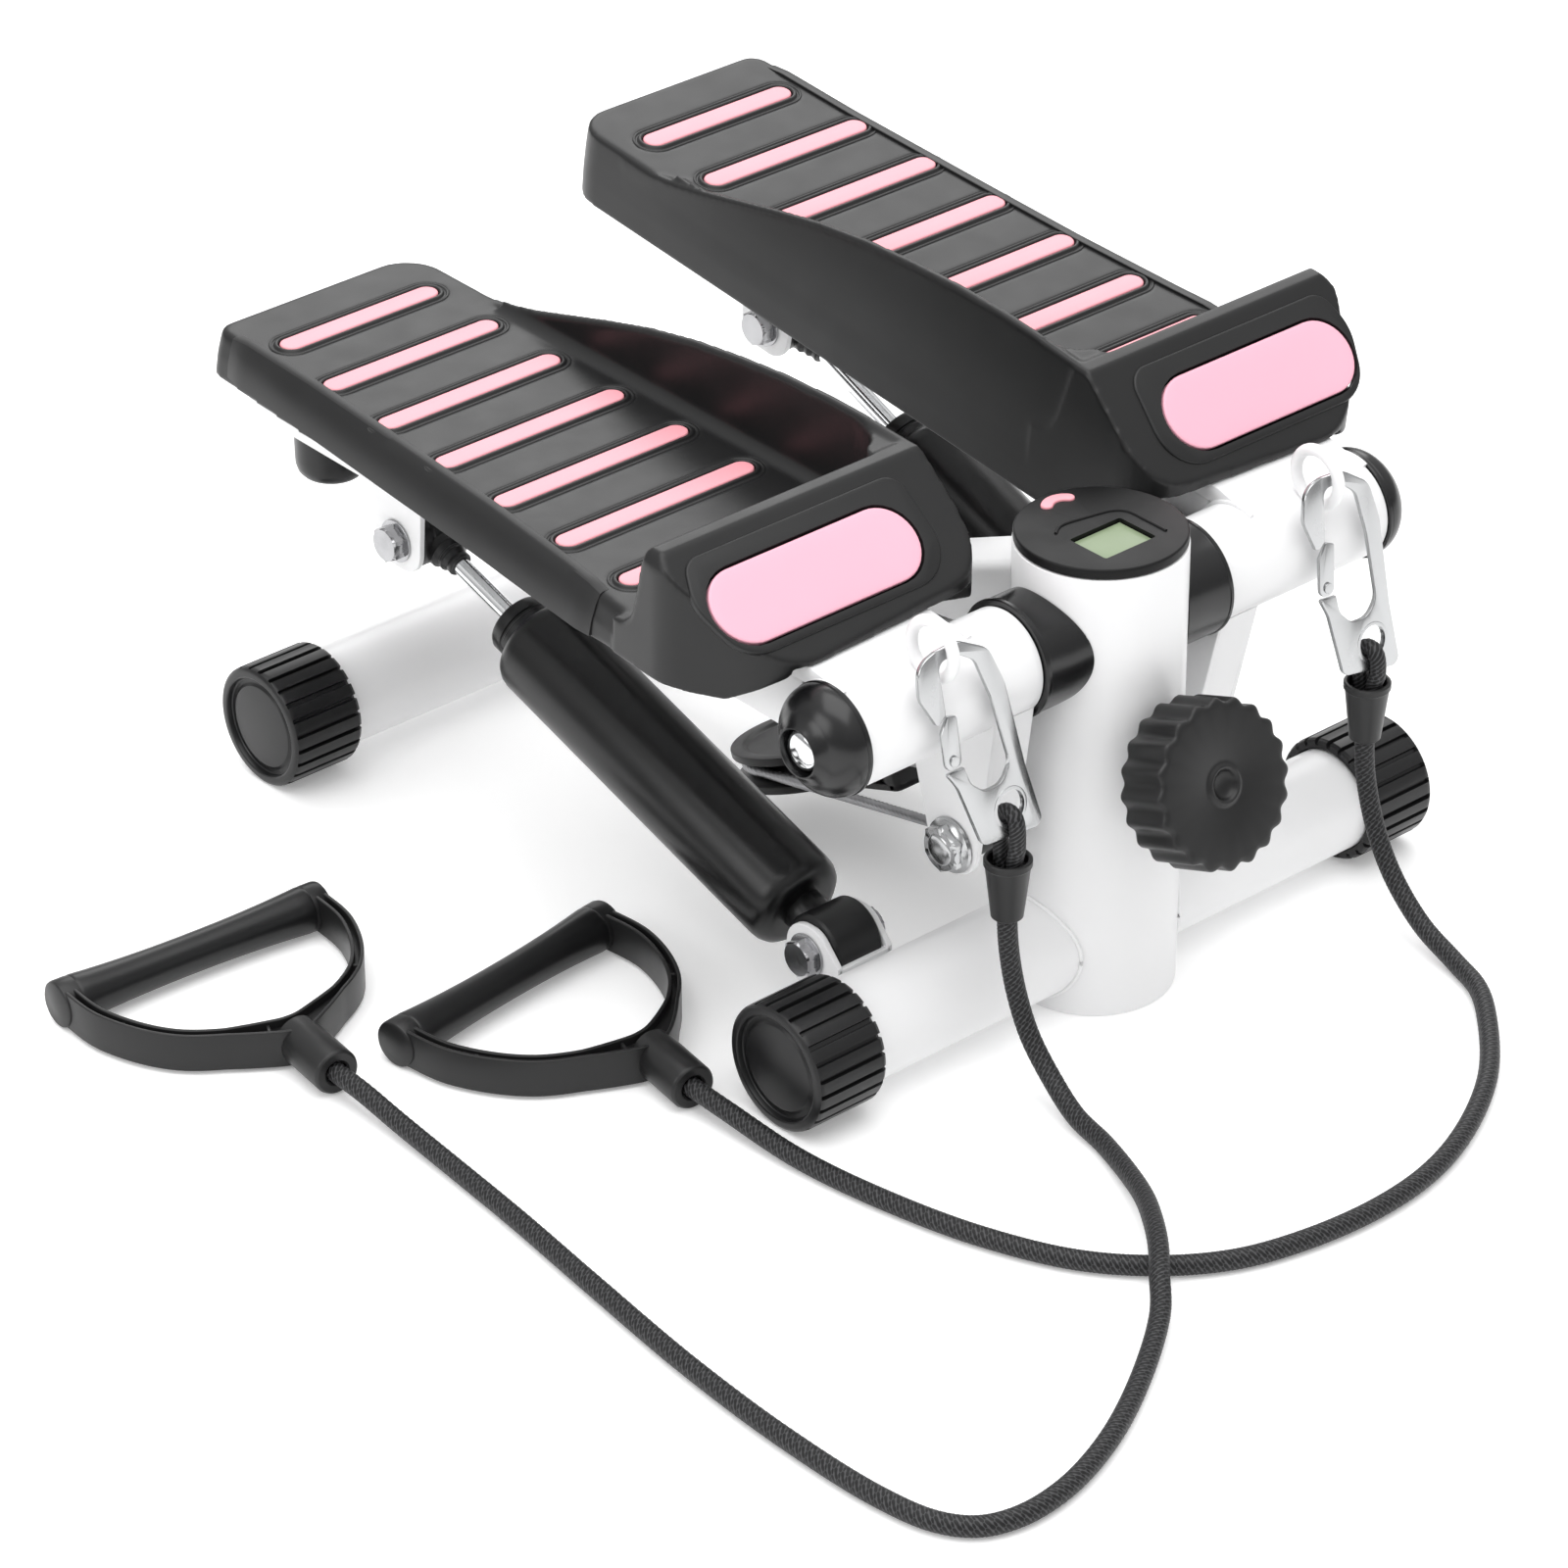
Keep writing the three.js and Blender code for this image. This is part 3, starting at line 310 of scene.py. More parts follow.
def rounded(corners, steps=8):
    """A flat outline whose [x, y, radius] corners are rounded."""
    out = []
    for i, corner in enumerate(corners):
        here = Vector(corner[:2])
        radius = corner[2] if len(corner) > 2 else 0
        if not radius:
            out.append(here)
            continue
        u = (Vector(corners[i - 1][:2]) - here).normalized()
        v = (Vector(corners[(i + 1) % len(corners)][:2]) - here).normalized()
        half = math.acos(max(-1, min(1, u.dot(v)))) / 2
        centre = here + (u + v).normalized() * (radius / math.sin(half))
        start = here + u * (radius / math.tan(half)) - centre
        side = math.copysign(1, u.x * v.y - u.y * v.x)
        for k in range(steps + 1):
            turn = Matrix.Rotation(-side * (math.pi - 2 * half) * k / steps, 2)
            out.append(turn @ start + centre)
    return out


def stadium(x0, x1, y, radius, steps=12):
    right = [-math.pi / 2 + math.pi * k / steps for k in range(steps + 1)]
    left = [math.pi / 2 + math.pi * k / steps for k in range(steps + 1)]
    out = [Vector((x1 + radius * math.cos(a), y + radius * math.sin(a))) for a in right]
    out += [Vector((x0 + radius * math.cos(a), y + radius * math.sin(a))) for a in left]
    return out


def inset(outline, depth):
    """The outline moved inwards by a depth, corner by corner."""
    count = len(outline)
    area = sum(outline[i - 1].cross(outline[i]) for i in range(count))
    way = 1 if area > 0 else -1
    out = []
    for i, here in enumerate(outline):
        before = here - outline[i - 1]
        after = outline[(i + 1) % count] - here
        if before.length < 1e-9 or after.length < 1e-9:
            out.append(here.copy())
            continue
        a, b = before.normalized(), after.normalized()
        normal = Vector((-(a.y + b.y), a.x + b.x)) * way
        if normal.length < 1e-6:
            out.append(here.copy())
            continue
        normal.normalize()
        stretch = max(0.4, normal.dot(Vector((-a.y, a.x)) * way))
        out.append(here + normal * depth / stretch)
    return out


def prism(outline, low, high, edge=0.0, steps=3):
    """An outline in XY carried from one height to another, its two edges rounded."""
    outline = [Vector(p[:2]) for p in outline]
    levels = [(0, low)]
    if edge:
        turns = [math.pi / 2 * k / steps for k in range(steps + 1)]
        levels = [(edge * (1 - math.sin(a)), low + edge * (1 - math.cos(a))) for a in turns]
    levels += [(depth, high - (z - low)) for depth, z in reversed(levels)]
    return capped([[Vector((p.x, p.y, z)) for p in inset(outline, depth)] for depth, z in levels])


AXES = {
    "x": Matrix(((0, 0, 1, 0), (1, 0, 0, 0), (0, 1, 0, 0), (0, 0, 0, 1))),
    "y": Matrix(((1, 0, 0, 0), (0, 0, -1, 0), (0, 1, 0, 0), (0, 0, 0, 1))),
    "z": Matrix.Identity(4),
}


def plate(outline, axis, low, high, edge=0.0):
    """A prism across an axis: its outline is (y, z), (x, z) or (x, y)."""
    if axis == "y":
        low, high = -high, -low
    return moved(prism(outline, low, high, edge), AXES[axis])


def block(x, y, z, edge=0.0):
    corners = [(x[0], y[0]), (x[1], y[0]), (x[1], y[1]), (x[0], y[1])]
    return prism(corners, *z, edge)


def curve_point(points, times, s):
    """The point at time s on the Catmull-Rom curve through the middle two of four timed points."""
    def between(a, b, i, j):
        return (a * (times[j] - s) + b * (s - times[i])) / (times[j] - times[i])

    first, middle, last = (between(points[i], points[i + 1], i, i + 1) for i in range(3))
    return between(between(first, middle, 0, 2), between(middle, last, 1, 3), 1, 2)


def smooth_path(points, spacing):
    """Evenly spaced points on a centripetal Catmull-Rom curve."""
    points = [Vector(p) for p in points]
    ends = [points[0] * 2 - points[1], *points, points[-1] * 2 - points[-2]]
    dense = []
    steps = 24
    for near in zip(ends, ends[1:], ends[2:], ends[3:]):
        times = [0.0]
        for a, b in zip(near, near[1:]):
            times.append(times[-1] + math.sqrt((b - a).length))
        for k in range(steps):
            dense.append(curve_point(near, times, times[1] + (times[2] - times[1]) * k / steps))
    dense.append(points[-1])
    total = sum((b - a).length for a, b in zip(dense, dense[1:]))
    count = max(2, round(total / spacing))
    step = total / count
    out, travelled = [dense[0]], 0.0
    for a, b in zip(dense, dense[1:]):
        gap = (b - a).length
        while travelled + gap >= step * len(out) and len(out) < count:
            out.append(a.lerp(b, (step * len(out) - travelled) / gap))
        travelled += gap
    out.append(dense[-1])
    return out


def frames_on(path):
    """A turning frame at each point of a path that doesn't twist."""
    tangents = []
    for i in range(len(path)):
        tangents.append((path[min(i + 1, len(path) - 1)] - path[max(i - 1, 0)]).normalized())
    side = tangents[0].orthogonal().normalized()
    out = []
    for i, tangent in enumerate(tangents):
        if i:
            side = tangents[i - 1].rotation_difference(tangent) @ side
        side = (side - tangent * side.dot(tangent)).normalized()
        out.append((side, tangent.cross(side)))
    return out


def tube(path, radius, sides=12, radius_at=None):
    """A round tube on a path, closed at both ends; radius_at(index, angle) may wave the radius."""
    rings = [[path[0]]]
    for i, (point, (a, b)) in enumerate(zip(path, frames_on(path))):
        ring = []
        for k in range(sides):
            angle = 2 * math.pi * k / sides
            r = radius_at(i, angle) if radius_at else radius
            ring.append(point + a * (r * math.cos(angle)) + b * (r * math.sin(angle)))
        rings.append(ring)
    rings.append([path[-1]])
    return skin(rings)


def arc(centre, radius, start_deg, end_deg, steps):
    angles = [math.radians(start_deg + (end_deg - start_deg) * k / steps) for k in range(steps + 1)]
    return [(centre[0] + radius * math.cos(a), centre[1] + radius * math.sin(a)) for a in angles]


# ---------------------------------------------------------------- meshes
def mesh_of(shape, name, weld=0.0):
    """A mesh with its faces turned outwards; points closer than weld become one."""
    mesh = bpy.data.meshes.new(name)
    mesh.from_pydata([tuple(p) for p in shape[0]], [], shape[1])
    build = bmesh.new()
    build.from_mesh(mesh)
    if weld:
        bmesh.ops.remove_doubles(build, verts=build.verts, dist=weld)
    bmesh.ops.recalc_face_normals(build, faces=build.faces)
    build.to_mesh(mesh)
    build.free()
    return mesh


def helper(shape):
    item = bpy.data.objects.new("helper", mesh_of(shape, "helper", 1e-4))
    bpy.context.scene.collection.objects.link(item)
    return item


def applied(item):
    """The item's mesh with its modifiers applied; the item itself is removed."""
    graph = bpy.context.evaluated_depsgraph_get()
    mesh = bpy.data.meshes.new_from_object(item.evaluated_get(graph))
    bpy.data.objects.remove(item)
    return mesh


def shape_of(mesh):
    return [v.co.copy() for v in mesh.vertices], [list(p.vertices) for p in mesh.polygons]


def combined(base, others, operation="DIFFERENCE"):
    """A shape after exact booleans with the other shapes."""
    item = helper(base)
    tools = [helper(other) for other in others]
    for tool in tools:
        modifier = item.modifiers.new("cut", "BOOLEAN")
        modifier.operation = operation
        modifier.solver = "EXACT"
        modifier.object = tool
    mesh = applied(item)
    for tool in tools:
        bpy.data.objects.remove(tool)
    return shape_of(mesh)


def moulded(shape, voxel, rounds):
    """One skin round overlapping shapes, with every edge softened as moulding softens it."""
    item = helper(shape)
    remesh = item.modifiers.new("skin", "REMESH")
    remesh.mode = "VOXEL"
    remesh.voxel_size = voxel
    smooth = item.modifiers.new("soften", "SMOOTH")
    smooth.factor = 0.5
    smooth.iterations = rounds
    return shape_of(applied(item))


def piece(name, shape, finish, body=None, cad=(), crease=32, matrix=None, shades=None):
    """A finished piece in metres. crease is the angle above which an edge stays sharp."""
    mesh = mesh_of(shape, name)
    if shades is not None:
        layer = mesh.attributes.new("shade", "FLOAT", "POINT")
        layer.data.foreach_set("value", shades)
    if matrix is not None:
        mesh.transform(matrix)
        if matrix.determinant() < 0:
            mesh.flip_normals()
    mesh.transform(Matrix.Scale(MM, 4))
    mesh.shade_smooth()
    mesh.set_sharp_from_angle(angle=math.radians(crease))
    mesh.materials.append(finish)
    item = bpy.data.objects.new(name, mesh)
    bpy.context.scene.collection.objects.link(item)
    if body:
        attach(item, body)
    if cad:
        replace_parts(item, *([cad] if isinstance(cad, str) else cad))
    return item


# ---------------------------------------------------------------- materials
def look(name, colour, roughness, metallic=0.0, vary=0.06, patches=14, grain=1800, bump=0.12, sharp_edge_lift=0.0,
         rough_vary=0.08, **sockets):
    """A surface with slow colour patches, uneven gloss and a fine relief. Scales are per metre."""
    material = bpy.data.materials.new(name)
    material.use_nodes = True
    tree = material.node_tree
    shader = tree.nodes["Principled BSDF"]
    shader.inputs["Metallic"].default_value = metallic
    for socket, value in sockets.items():
        shader.inputs[socket.replace("_", " ")].default_value = value
    where = tree.nodes.new("ShaderNodeTexCoord").outputs["Object"]

    def noise(scale, detail):
        node = tree.nodes.new("ShaderNodeTexNoise")
        node.inputs["Scale"].default_value = scale
        node.inputs["Detail"].default_value = detail
        tree.links.new(where, node.inputs["Vector"])
        return node.outputs["Fac"]

    def ranged(value, low, high, start=0.3, end=0.7):
        node = tree.nodes.new("ShaderNodeMapRange")
        node.inputs["From Min"].default_value = start
        node.inputs["From Max"].default_value = end
        node.inputs["To Min"].default_value = low
        node.inputs["To Max"].default_value = high
        tree.links.new(value, node.inputs["Value"])
        return node.outputs["Result"]

    def mixed(factor, first, second):
        node = tree.nodes.new("ShaderNodeMix")
        node.data_type = "RGBA"
        tree.links.new(factor, node.inputs["Factor"])
        for socket, value in ((node.inputs[6], first), (node.inputs[7], second)):
            if isinstance(value, bpy.types.NodeSocket):
                tree.links.new(value, socket)
            else:
                socket.default_value = (*value, 1)
        return node.outputs[2]

    dark = tuple(c * (1 - vary) for c in colour)
    light = tuple(min(1, c * (1 + vary)) for c in colour)
    tint = mixed(ranged(noise(patches, 3), 0, 1), dark, light)
    # The colour is lifted by a set amount on sharp convex edges, where pointiness is high.
    if sharp_edge_lift:
        edge = tree.nodes.new("ShaderNodeNewGeometry").outputs["Pointiness"]
        sharp_edge_colour = tuple(min(1, c + sharp_edge_lift) for c in colour)
        tint = mixed(ranged(edge, 0, 1, 0.52, 0.62), tint, sharp_edge_colour)
    tree.links.new(tint, shader.inputs["Base Color"])
    gloss = ranged(noise(patches * 4, 4), roughness * (1 - rough_vary), roughness * (1 + rough_vary))
    tree.links.new(gloss, shader.inputs["Roughness"])
    relief = tree.nodes.new("ShaderNodeBump")
    relief.inputs["Strength"].default_value = bump
    relief.inputs["Distance"].default_value = 0.08 * MM
    tree.links.new(noise(grain, 2), relief.inputs["Height"])
    tree.links.new(relief.outputs["Normal"], shader.inputs["Normal"])
    return material


def braid_look():
    """Black braid whose colour follows the strand relief of the mesh: painted shade in the gaps between
    strands and painted highlights as pale flecks on their crests.
    """
    material = look(
        "braided_cord", (0.012, 0.012, 0.013), 0.5, grain=5000, bump=0.4, Specular_IOR_Level=0.3)
    tree = material.node_tree
    shader = tree.nodes["Principled BSDF"]
    strand = tree.nodes.new("ShaderNodeAttribute")
    strand.attribute_name = "shade"
    ramp = tree.nodes.new("ShaderNodeValToRGB")
    stops = ramp.color_ramp.elements
    # Low stops: painted shade in the gaps between strands. Top stop: a painted highlight on every strand's
    # crest.
    stops[0].position, stops[0].color = 0.0, (0.0015, 0.0015, 0.0015, 1)
    stops[1].position, stops[1].color = 0.75, (0.008, 0.008, 0.0085, 1)
    crest_highlight = stops.new(0.93)
    crest_highlight.color = (0.06, 0.06, 0.063, 1)
    tree.links.new(strand.outputs["Fac"], ramp.inputs["Fac"])
    tree.links.new(ramp.outputs["Color"], shader.inputs["Base Color"])
    return material


WHITE = look(
    "white_paint", (0.85, 0.85, 0.855), 0.32, vary=0.012, grain=600, bump=0.04, Specular_IOR_Level=0.4)
PLASTIC = look(
    "black_plastic", (0.0095, 0.0095, 0.0098), 0.37, vary=0.1, grain=2600, bump=0.14, sharp_edge_lift=0.012,
    Specular_IOR_Level=0.36)
CASE = look(
    "computer_plastic", (0.007, 0.007, 0.0073), 0.42, vary=0.1, grain=2600, bump=0.1, sharp_edge_lift=0.01,
    Specular_IOR_Level=0.16)
GLOSS = look(
    "gloss_black", (0.004, 0.004, 0.0045), 0.25, vary=0.1, grain=900, bump=0.03, Specular_IOR_Level=0.5)
RUBBER = look(
    "black_rubber", (0.007, 0.007, 0.0075), 0.33, vary=0.1, grain=2200, bump=0.12, sharp_edge_lift=0.01,
    Specular_IOR_Level=0.36)
PINK = look(
    "pink_pad", (0.90, 0.37, 0.42), 0.42, vary=0.015, grain=1500, bump=0.08, sharp_edge_lift=0.04,
    Specular_IOR_Level=0.3)
PAD_PINK = look(
    "pink_toe_pad", (0.91, 0.445, 0.545), 0.55, vary=0.012, grain=1500, bump=0.08,
    Specular_IOR_Level=0.25)
CHROME = look("chrome", (0.74, 0.75, 0.76), 0.12, 1.0, vary=0.02, grain=400, bump=0.01, rough_vary=0.2)
HOOK_STEEL = look(
    "hook_steel", (0.47, 0.475, 0.48), 0.24, 1.0, vary=0.03, grain=900, bump=0.03, rough_vary=0.2)
ZINC = look("zinc_steel", (0.40, 0.40, 0.41), 0.24, 1.0, vary=0.08, patches=120, grain=1200, bump=0.04)
CABLE = look("steel_cable", (0.33, 0.33, 0.34), 0.3, 0.85, vary=0.1, patches=90, grain=2500, bump=0.1)
LCD = look(
    "lcd_panel", (0.23, 0.29, 0.18), 0.35, vary=0.08, patches=40, grain=3000, bump=0.02,
    Specular_IOR_Level=0.3)
DAMPER = look(
    "damper_paint", (0.003, 0.003, 0.0033), 0.31, vary=0.1, grain=800, bump=0.05, Specular_IOR_Level=0.4)
FLOOR = look(
    "floor", (0.93, 0.93, 0.93), 0.7, vary=0.003, patches=2, grain=300, bump=0.01,
    Emission_Color=(1, 1, 1, 1), Emission_Strength=0.22)
BRAID = braid_look()


# ---------------------------------------------------------------- cords
def braid(path, radius, spacing):
    """A braided tube. Strands run both ways round it, over and under each other in a herringbone."""
    strands, pitch, sides, relief = 8, 15.0, 24, 0.45

    def height(i, angle):
        turns = strands * angle / (2 * math.pi)
        run = strands * i * spacing / pitch
        first, second = (turns + run) % 1, (turns - run) % 1
        over = (math.floor(turns + run) + math.floor(turns - run)) % 2
        ridge = math.sin(math.pi * (first if over else second))
        return 0.35 + 0.65 * ridge

    def radius_at(i, angle):
        return radius - relief + relief * height(i, angle)

    shape = tube(path, radius, sides, radius_at)
    # Each point's strand height goes into the shade attribute, which picks the braid's painted shade and
    # painted highlight.
    shades = [0.5]
    for i in range(len(path)):
        shades.extend(height(i, 2 * math.pi * k / sides) for k in range(sides))
    shades.append(0.5)
    return shape, shades


def make_cord(side):
    route = [Vector(p) for p in CORD_ROUTE[side]]
    hidden = 2.6
    start = route[0] + Vector((0, 0, hidden))
    end = route[-1] + (route[-1] - route[-2]).normalized() * hidden
    path = smooth_path([start, *route, end], CORD_STEP)
    shape, shades = braid(path, CORD_R, CORD_STEP)
    item = piece(f"cord_{side}_braid", shape, BRAID, cad=f"cord_{side}",
                 crease=180, shades=shades)
    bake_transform(item)
    length = sum((b - a).length for a, b in zip(path, path[1:])) * MM
    return item, path, length, start


cords = {side: make_cord(side) for side in SIDES}


# ---------------------------------------------------------------- base frame
def post():
    """An open tube with rolled edges and weld beads where the front tubes meet it."""
    inner = POST_R - POST_WALL
    profile = soft([(0, 0.4), (POST_R - 0.4, 0.4), (POST_R, POST_TOP), (inner, POST_TOP), (inner, 6),
                    (0, 6)], 0.8)
    beads = []
    for side in (-1, 1):
        loop = []
        for k in range(72):
            angle = 2 * math.pi * k / 72
            y, z = (TUBE_R + 0.4) * math.cos(angle), (TUBE_R + 0.4) * math.sin(angle)
            loop.append(Vector((side * math.sqrt((POST_R + 0.3) ** 2 - y * y), y, CAP_R + z)))
        beads.append(closed_tube(loop, 0.9))
    return merged(lathe(profile, sides=128), *beads)


def closed_tube(loop, radius):
    """A round tube on a closed loop of points."""
    count, sides = len(loop), 8
    rings = []
    for i, here in enumerate(loop):
        tangent = (loop[(i + 1) % count] - loop[i - 1]).normalized()
        a = Vector((0, 0, 1)).cross(tangent)
        a = a.normalized() if a.length > 1e-3 else Vector((1, 0, 0))
        b = tangent.cross(a)
        turns = [2 * math.pi * k / sides for k in range(sides)]
        rings.append([here + a * (radius * math.cos(t)) + b * (radius * math.sin(t)) for t in turns])
    return skin(rings, loop=True)


def front_tube(side):
    """The tube's inner end is a fish mouth that follows the post."""
    sides = 96
    rings = []
    inner = TUBE_R - TUBE_WALL
    outer_x = 177.4
    for radius, x in ((inner, None), (TUBE_R, None), (TUBE_R, outer_x), (inner, outer_x)):
        ring = []
        for p in ring_points(radius, sides):
            mouth = math.sqrt((POST_R + 0.1) ** 2 - p.x ** 2)
            ring.append(Vector((side * (x or mouth), p.x, CAP_R + p.y)))
        rings.append(ring)
    return skin(rings, loop=True)


def rear_tube():
    half = 166
    inner = TUBE_R - TUBE_WALL
    profile = [(inner, -half), (TUBE_R, -half), (TUBE_R, half), (inner, half)]
    return turned(profile, (0, REAR_Y, CAP_R), (1, 0, 0), sides=96, loop=True)


def beam():
    """A box section from the post down to the rear tube, cut to fit both."""
    slope = (BEAM_REAR - BEAM_FRONT).normalized()
    down = Vector((0, slope.z, -slope.y))
    half_w, half_d = BEAM_WIDTH / 2, BEAM_DEPTH / 2
    rings = []
    for wall, corner in ((0, 5), (BEAM_WALL, 3)):
        w, d = half_w - wall, half_d - wall
        section = rounded([(-w, -d, corner), (w, -d, corner), (w, d, corner), (-w, d, corner)], 6)
        front, rear = [], []
        for p in section:
            base = BEAM_FRONT + down * (half_d + p.y) + Vector((p.x, 0, 0))
            start = (math.sqrt((POST_R + 1.2) ** 2 - p.x ** 2) - base.y) / slope.y
            front.append(base + slope * start)
            rear.append(base + slope * rear_cut(base, slope))
        rings.append((front, rear))
    (front, rear), (inner_front, inner_rear) = rings
    return skin([front, rear, inner_rear, inner_front], loop=True)


def rear_cut(base, slope):
    """How far along the beam a line meets the rear tube, or passes over it."""
    over = (REAR_Y + 2 - base.y) / slope.y
    y, z = base.y - REAR_Y, base.z - CAP_R
    b = y * slope.y + z * slope.z
    inside = b * b - (y * y + z * z - (TUBE_R + 0.4) ** 2)
    return min(over, -b - math.sqrt(inside)) if inside > 0 else over


def end_cap():
    """A ribbed cup with a lipped disc in its end, about +Z, its inner end at 0."""
    ridge = 2 * math.pi / CAP_RIDGES

    def ribs(radius, height, angle):
        if radius < CAP_R - 3.2 or height > CAP_LENGTH - 1.4:
            return radius
        return radius if (angle % ridge) / ridge < 0.72 else radius - 2

    end = CAP_LENGTH
    lip = CAP_R - 4.4
    profile = [
        (TUBE_R + 0.4, 9), (TUBE_R + 0.4, 0.6), (TUBE_R + 1, 0), (CAP_R - 1.2, 0), (CAP_R - 0.6, 0.6),
        (CAP_R - 0.4, 1.2), (CAP_R, 1.8), (CAP_R, end - 3.4), (CAP_R - 0.1, end - 2),
        (CAP_R - 0.5, end - 1),
        (CAP_R - 1.3, end - 0.35), (CAP_R - 2.3, end), (lip, end), (lip - 0.6, end - 0.3),
        (lip - 0.9, end - 1.1), (lip - 1.2, end - 2.4), (lip - 1.7, end - 2.8), (lip - 3.2, end - 2.8),
        (lip - 3.9, end - 2.5), (lip - 5, end - 1.7), (lip - 6, end - 1.5), (0, end - 1.5),
    ]
    return lathe(profile, sides=CAP_RIDGES * 20, radius_at=ribs)


piece("post_shell", post(), WHITE, "root", "post")
piece("rear_tube_shell", rear_tube(), WHITE, "root", "rear_tube")
piece("main_beam_shell", beam(), WHITE, "root", "main_beam")
for name, side in SIDES.items():
    node = f"front_tube_{name}"
    piece(f"{node}_shell", front_tube(side), WHITE, "root", node)
    for end, y in (("front", 0), ("rear", REAR_Y)):
        low, high = mm_box(f"{end}_cap_{name}")
        inner_x = high.x - CAP_LENGTH if side > 0 else low.x + CAP_LENGTH
        place = frame_along((inner_x, y, CAP_R), (side, 0, 0))
        cup = moved(end_cap(), place)
        piece(f"{end}_cap_{name}_ribbed", cup, RUBBER, "root", f"{end}_cap_{name}",
              crease=24)


# ---------------------------------------------------------------- pivot
def axle():
    """A rod across the post with a domed end on each side."""
    end = 170.5
    turns = [math.radians(6 * k) for k in range(16)]
    profile = [*[(9 * math.sin(a), 1.6 - end - 3 * math.cos(a)) for a in turns], (9.7, 2.6 - end)]
    profile += [(r, -h) for r, h in reversed(profile)]
    return turned(profile, (0, 0, PIVOT_Z), (1, 0, 0), sides=64)


def collar(side):
    """A glossy bush between the sleeve and the post, saddle-shaped where it meets the post."""
    stations = [(9.9, 30), (9.9, 54.5), (22, 54.8), (26.4, 55), (27, 54.4), (27, 53), (26.6, 52.7),
                (26.5, 52.2), (26.5, 40), (26.3, None), (25.2, None)]
    rings = []
    for radius, x in stations:
        ring = []
        for p in ring_points(radius, 96):
            mouth = math.sqrt((POST_R + 0.25) ** 2 - p.x ** 2) + (0.3 if radius > 26 else 0)
            reach = mouth if x is None else max(x, mouth + 0.2)
            ring.append(Vector((side * reach, p.x, PIVOT_Z + p.y)))
        rings.append(ring)
    return skin(rings, loop=True)


piece("pivot_axle_turned", axle(), CHROME, "root", "pivot_axle")
for name, side in SIDES.items():
    piece(f"collar_{name}_bush", collar(side), GLOSS, "root", f"collar_{name}")


# ---------------------------------------------------------------- computer
def kidney(half_width):
    """A bean-shaped outline that opens towards the disc's middle."""
    radius, spread = 8.2, 47
    low, high = BUTTON_DEG - spread, BUTTON_DEG + spread
    turn = math.radians(BUTTON_DEG)
    centre = (BUTTON_FROM_MIDDLE - radius) * math.cos(turn), (BUTTON_FROM_MIDDLE - radius) * math.sin(turn)
    ends = [arc(centre, radius, a, a, 1)[0] for a in (high, low)]
    out = arc(centre, radius + half_width, low, high, 14)
    out += arc(ends[0], half_width, high, high + 180, 8)[1:-1]
    out += arc(centre, radius - half_width, high, low, 14)
    out += arc(ends[1], half_width, low + 180, low + 360, 8)[1:-1]
    return [Vector(p) for p in out]


def computer_case():
    """A disc with a neck in the post, a window, a button pocket and a raised line round the window."""
    neck, foot = POST_R - 3.1, POST_TOP + 0.3
    profile = [(0, 201), (neck, 201), (neck, foot), (DISC_R, foot), (DISC_R, DISC_TOP), (0, DISC_TOP)]
    disc = lathe(soft(profile, 1.1, 5), sides=160)
    corner = 1.2
    (x0, x1), (y0, y1) = LCD_X, LCD_Y
    window = prism(rounded([(x0, y0, corner), (x1, y0, corner), (x1, y1, corner), (x0, y1, corner)]),
                   DISC_TOP - 3.4, DISC_TOP + 3)
    button = prism(kidney(3.1), DISC_TOP - 4.2, DISC_TOP + 3)
    disc = combined(disc, [window, button])
    line = [(-18.2, 9), (-12, 12.4), (2, 10.6), (14.2, 7.6), (18.1, 3.6), (18.6, -8), (18.5, -20.3)]
    ridge = tube(smooth_path([(x, y, DISC_TOP) for x, y in line], 1), 0.8, 10)
    return merged(disc, ridge)


def lcd_window():
    (x0, x1), (y0, y1) = LCD_X, LCD_Y
    gap = 0.35
    return block((x0 + gap, x1 - gap), (y0 + gap, y1 - gap), (DISC_TOP - 3.3, DISC_TOP - 1.9), 0.3)


piece("computer_case_moulded", computer_case(), CASE, "root", "computer_case", crease=40)
piece("lcd_window_pane", lcd_window(), LCD, "root", "lcd_window")
button = prism(kidney(2.75), DISC_TOP - 2.6, DISC_TOP + 0.9, 0.7, 4)
piece("mode_button_cap", button, PINK, "button", "mode_button")


# ---------------------------------------------------------------- tension knob, screw, pulley
SCREW_DIR = Vector((0, math.cos(math.radians(SCREW_DEG)), -math.sin(math.radians(SCREW_DEG))))
SCREW_FRAME = Matrix.Translation(KNOB_FACE) @ Matrix.Rotation(math.radians(-90 - SCREW_DEG), 4, "X")
PULLEY_NORMAL = Vector((0, math.sin(math.radians(SCREW_DEG)), math.cos(math.radians(SCREW_DEG))))
PULLEY_CENTRE = KNOB_FACE + SCREW_DIR * PULLEY_FROM_FACE


def knob():
    """Scalloped grip, dished face with a dimple, and a boss behind."""
    def scallop(radius, height, angle):
        if radius < KNOB_R - 4 or height > KNOB_THICK + 0.5:
            return radius
        return radius - 1.15 * (1 + math.cos(angle * 20))

    back = KNOB_THICK
    profile = [
        (0, 3.0), (3.4, 2.8), (5.4, 2.0), (6.4, 0.7), (7.0, -0.4), (7.8, -0.7), (8.6, -0.5), (9.3, 0.3),
        (10.4, 0.5), (11.6, 0.1), (KNOB_R - 5, 0), (KNOB_R - 2.2, 0.05), (KNOB_R - 1, 0.3),
        (KNOB_R - 0.3, 0.9), (KNOB_R, 1.8), (KNOB_R, back - 2), (KNOB_R - 0.5, back - 0.7),
        (KNOB_R - 1.5, back), (KNOB_R - 6, back), (KNOB_R - 7, back - 2.4), (18, back - 2.4),
        (15.5, back - 0.4), (13, back + 0.8), (12.6, back + 6), (6.4, back + 6), (6.4, back - 4),
        (0, back - 4),
    ]
    return lathe(profile, sides=240, radius_at=scallop)


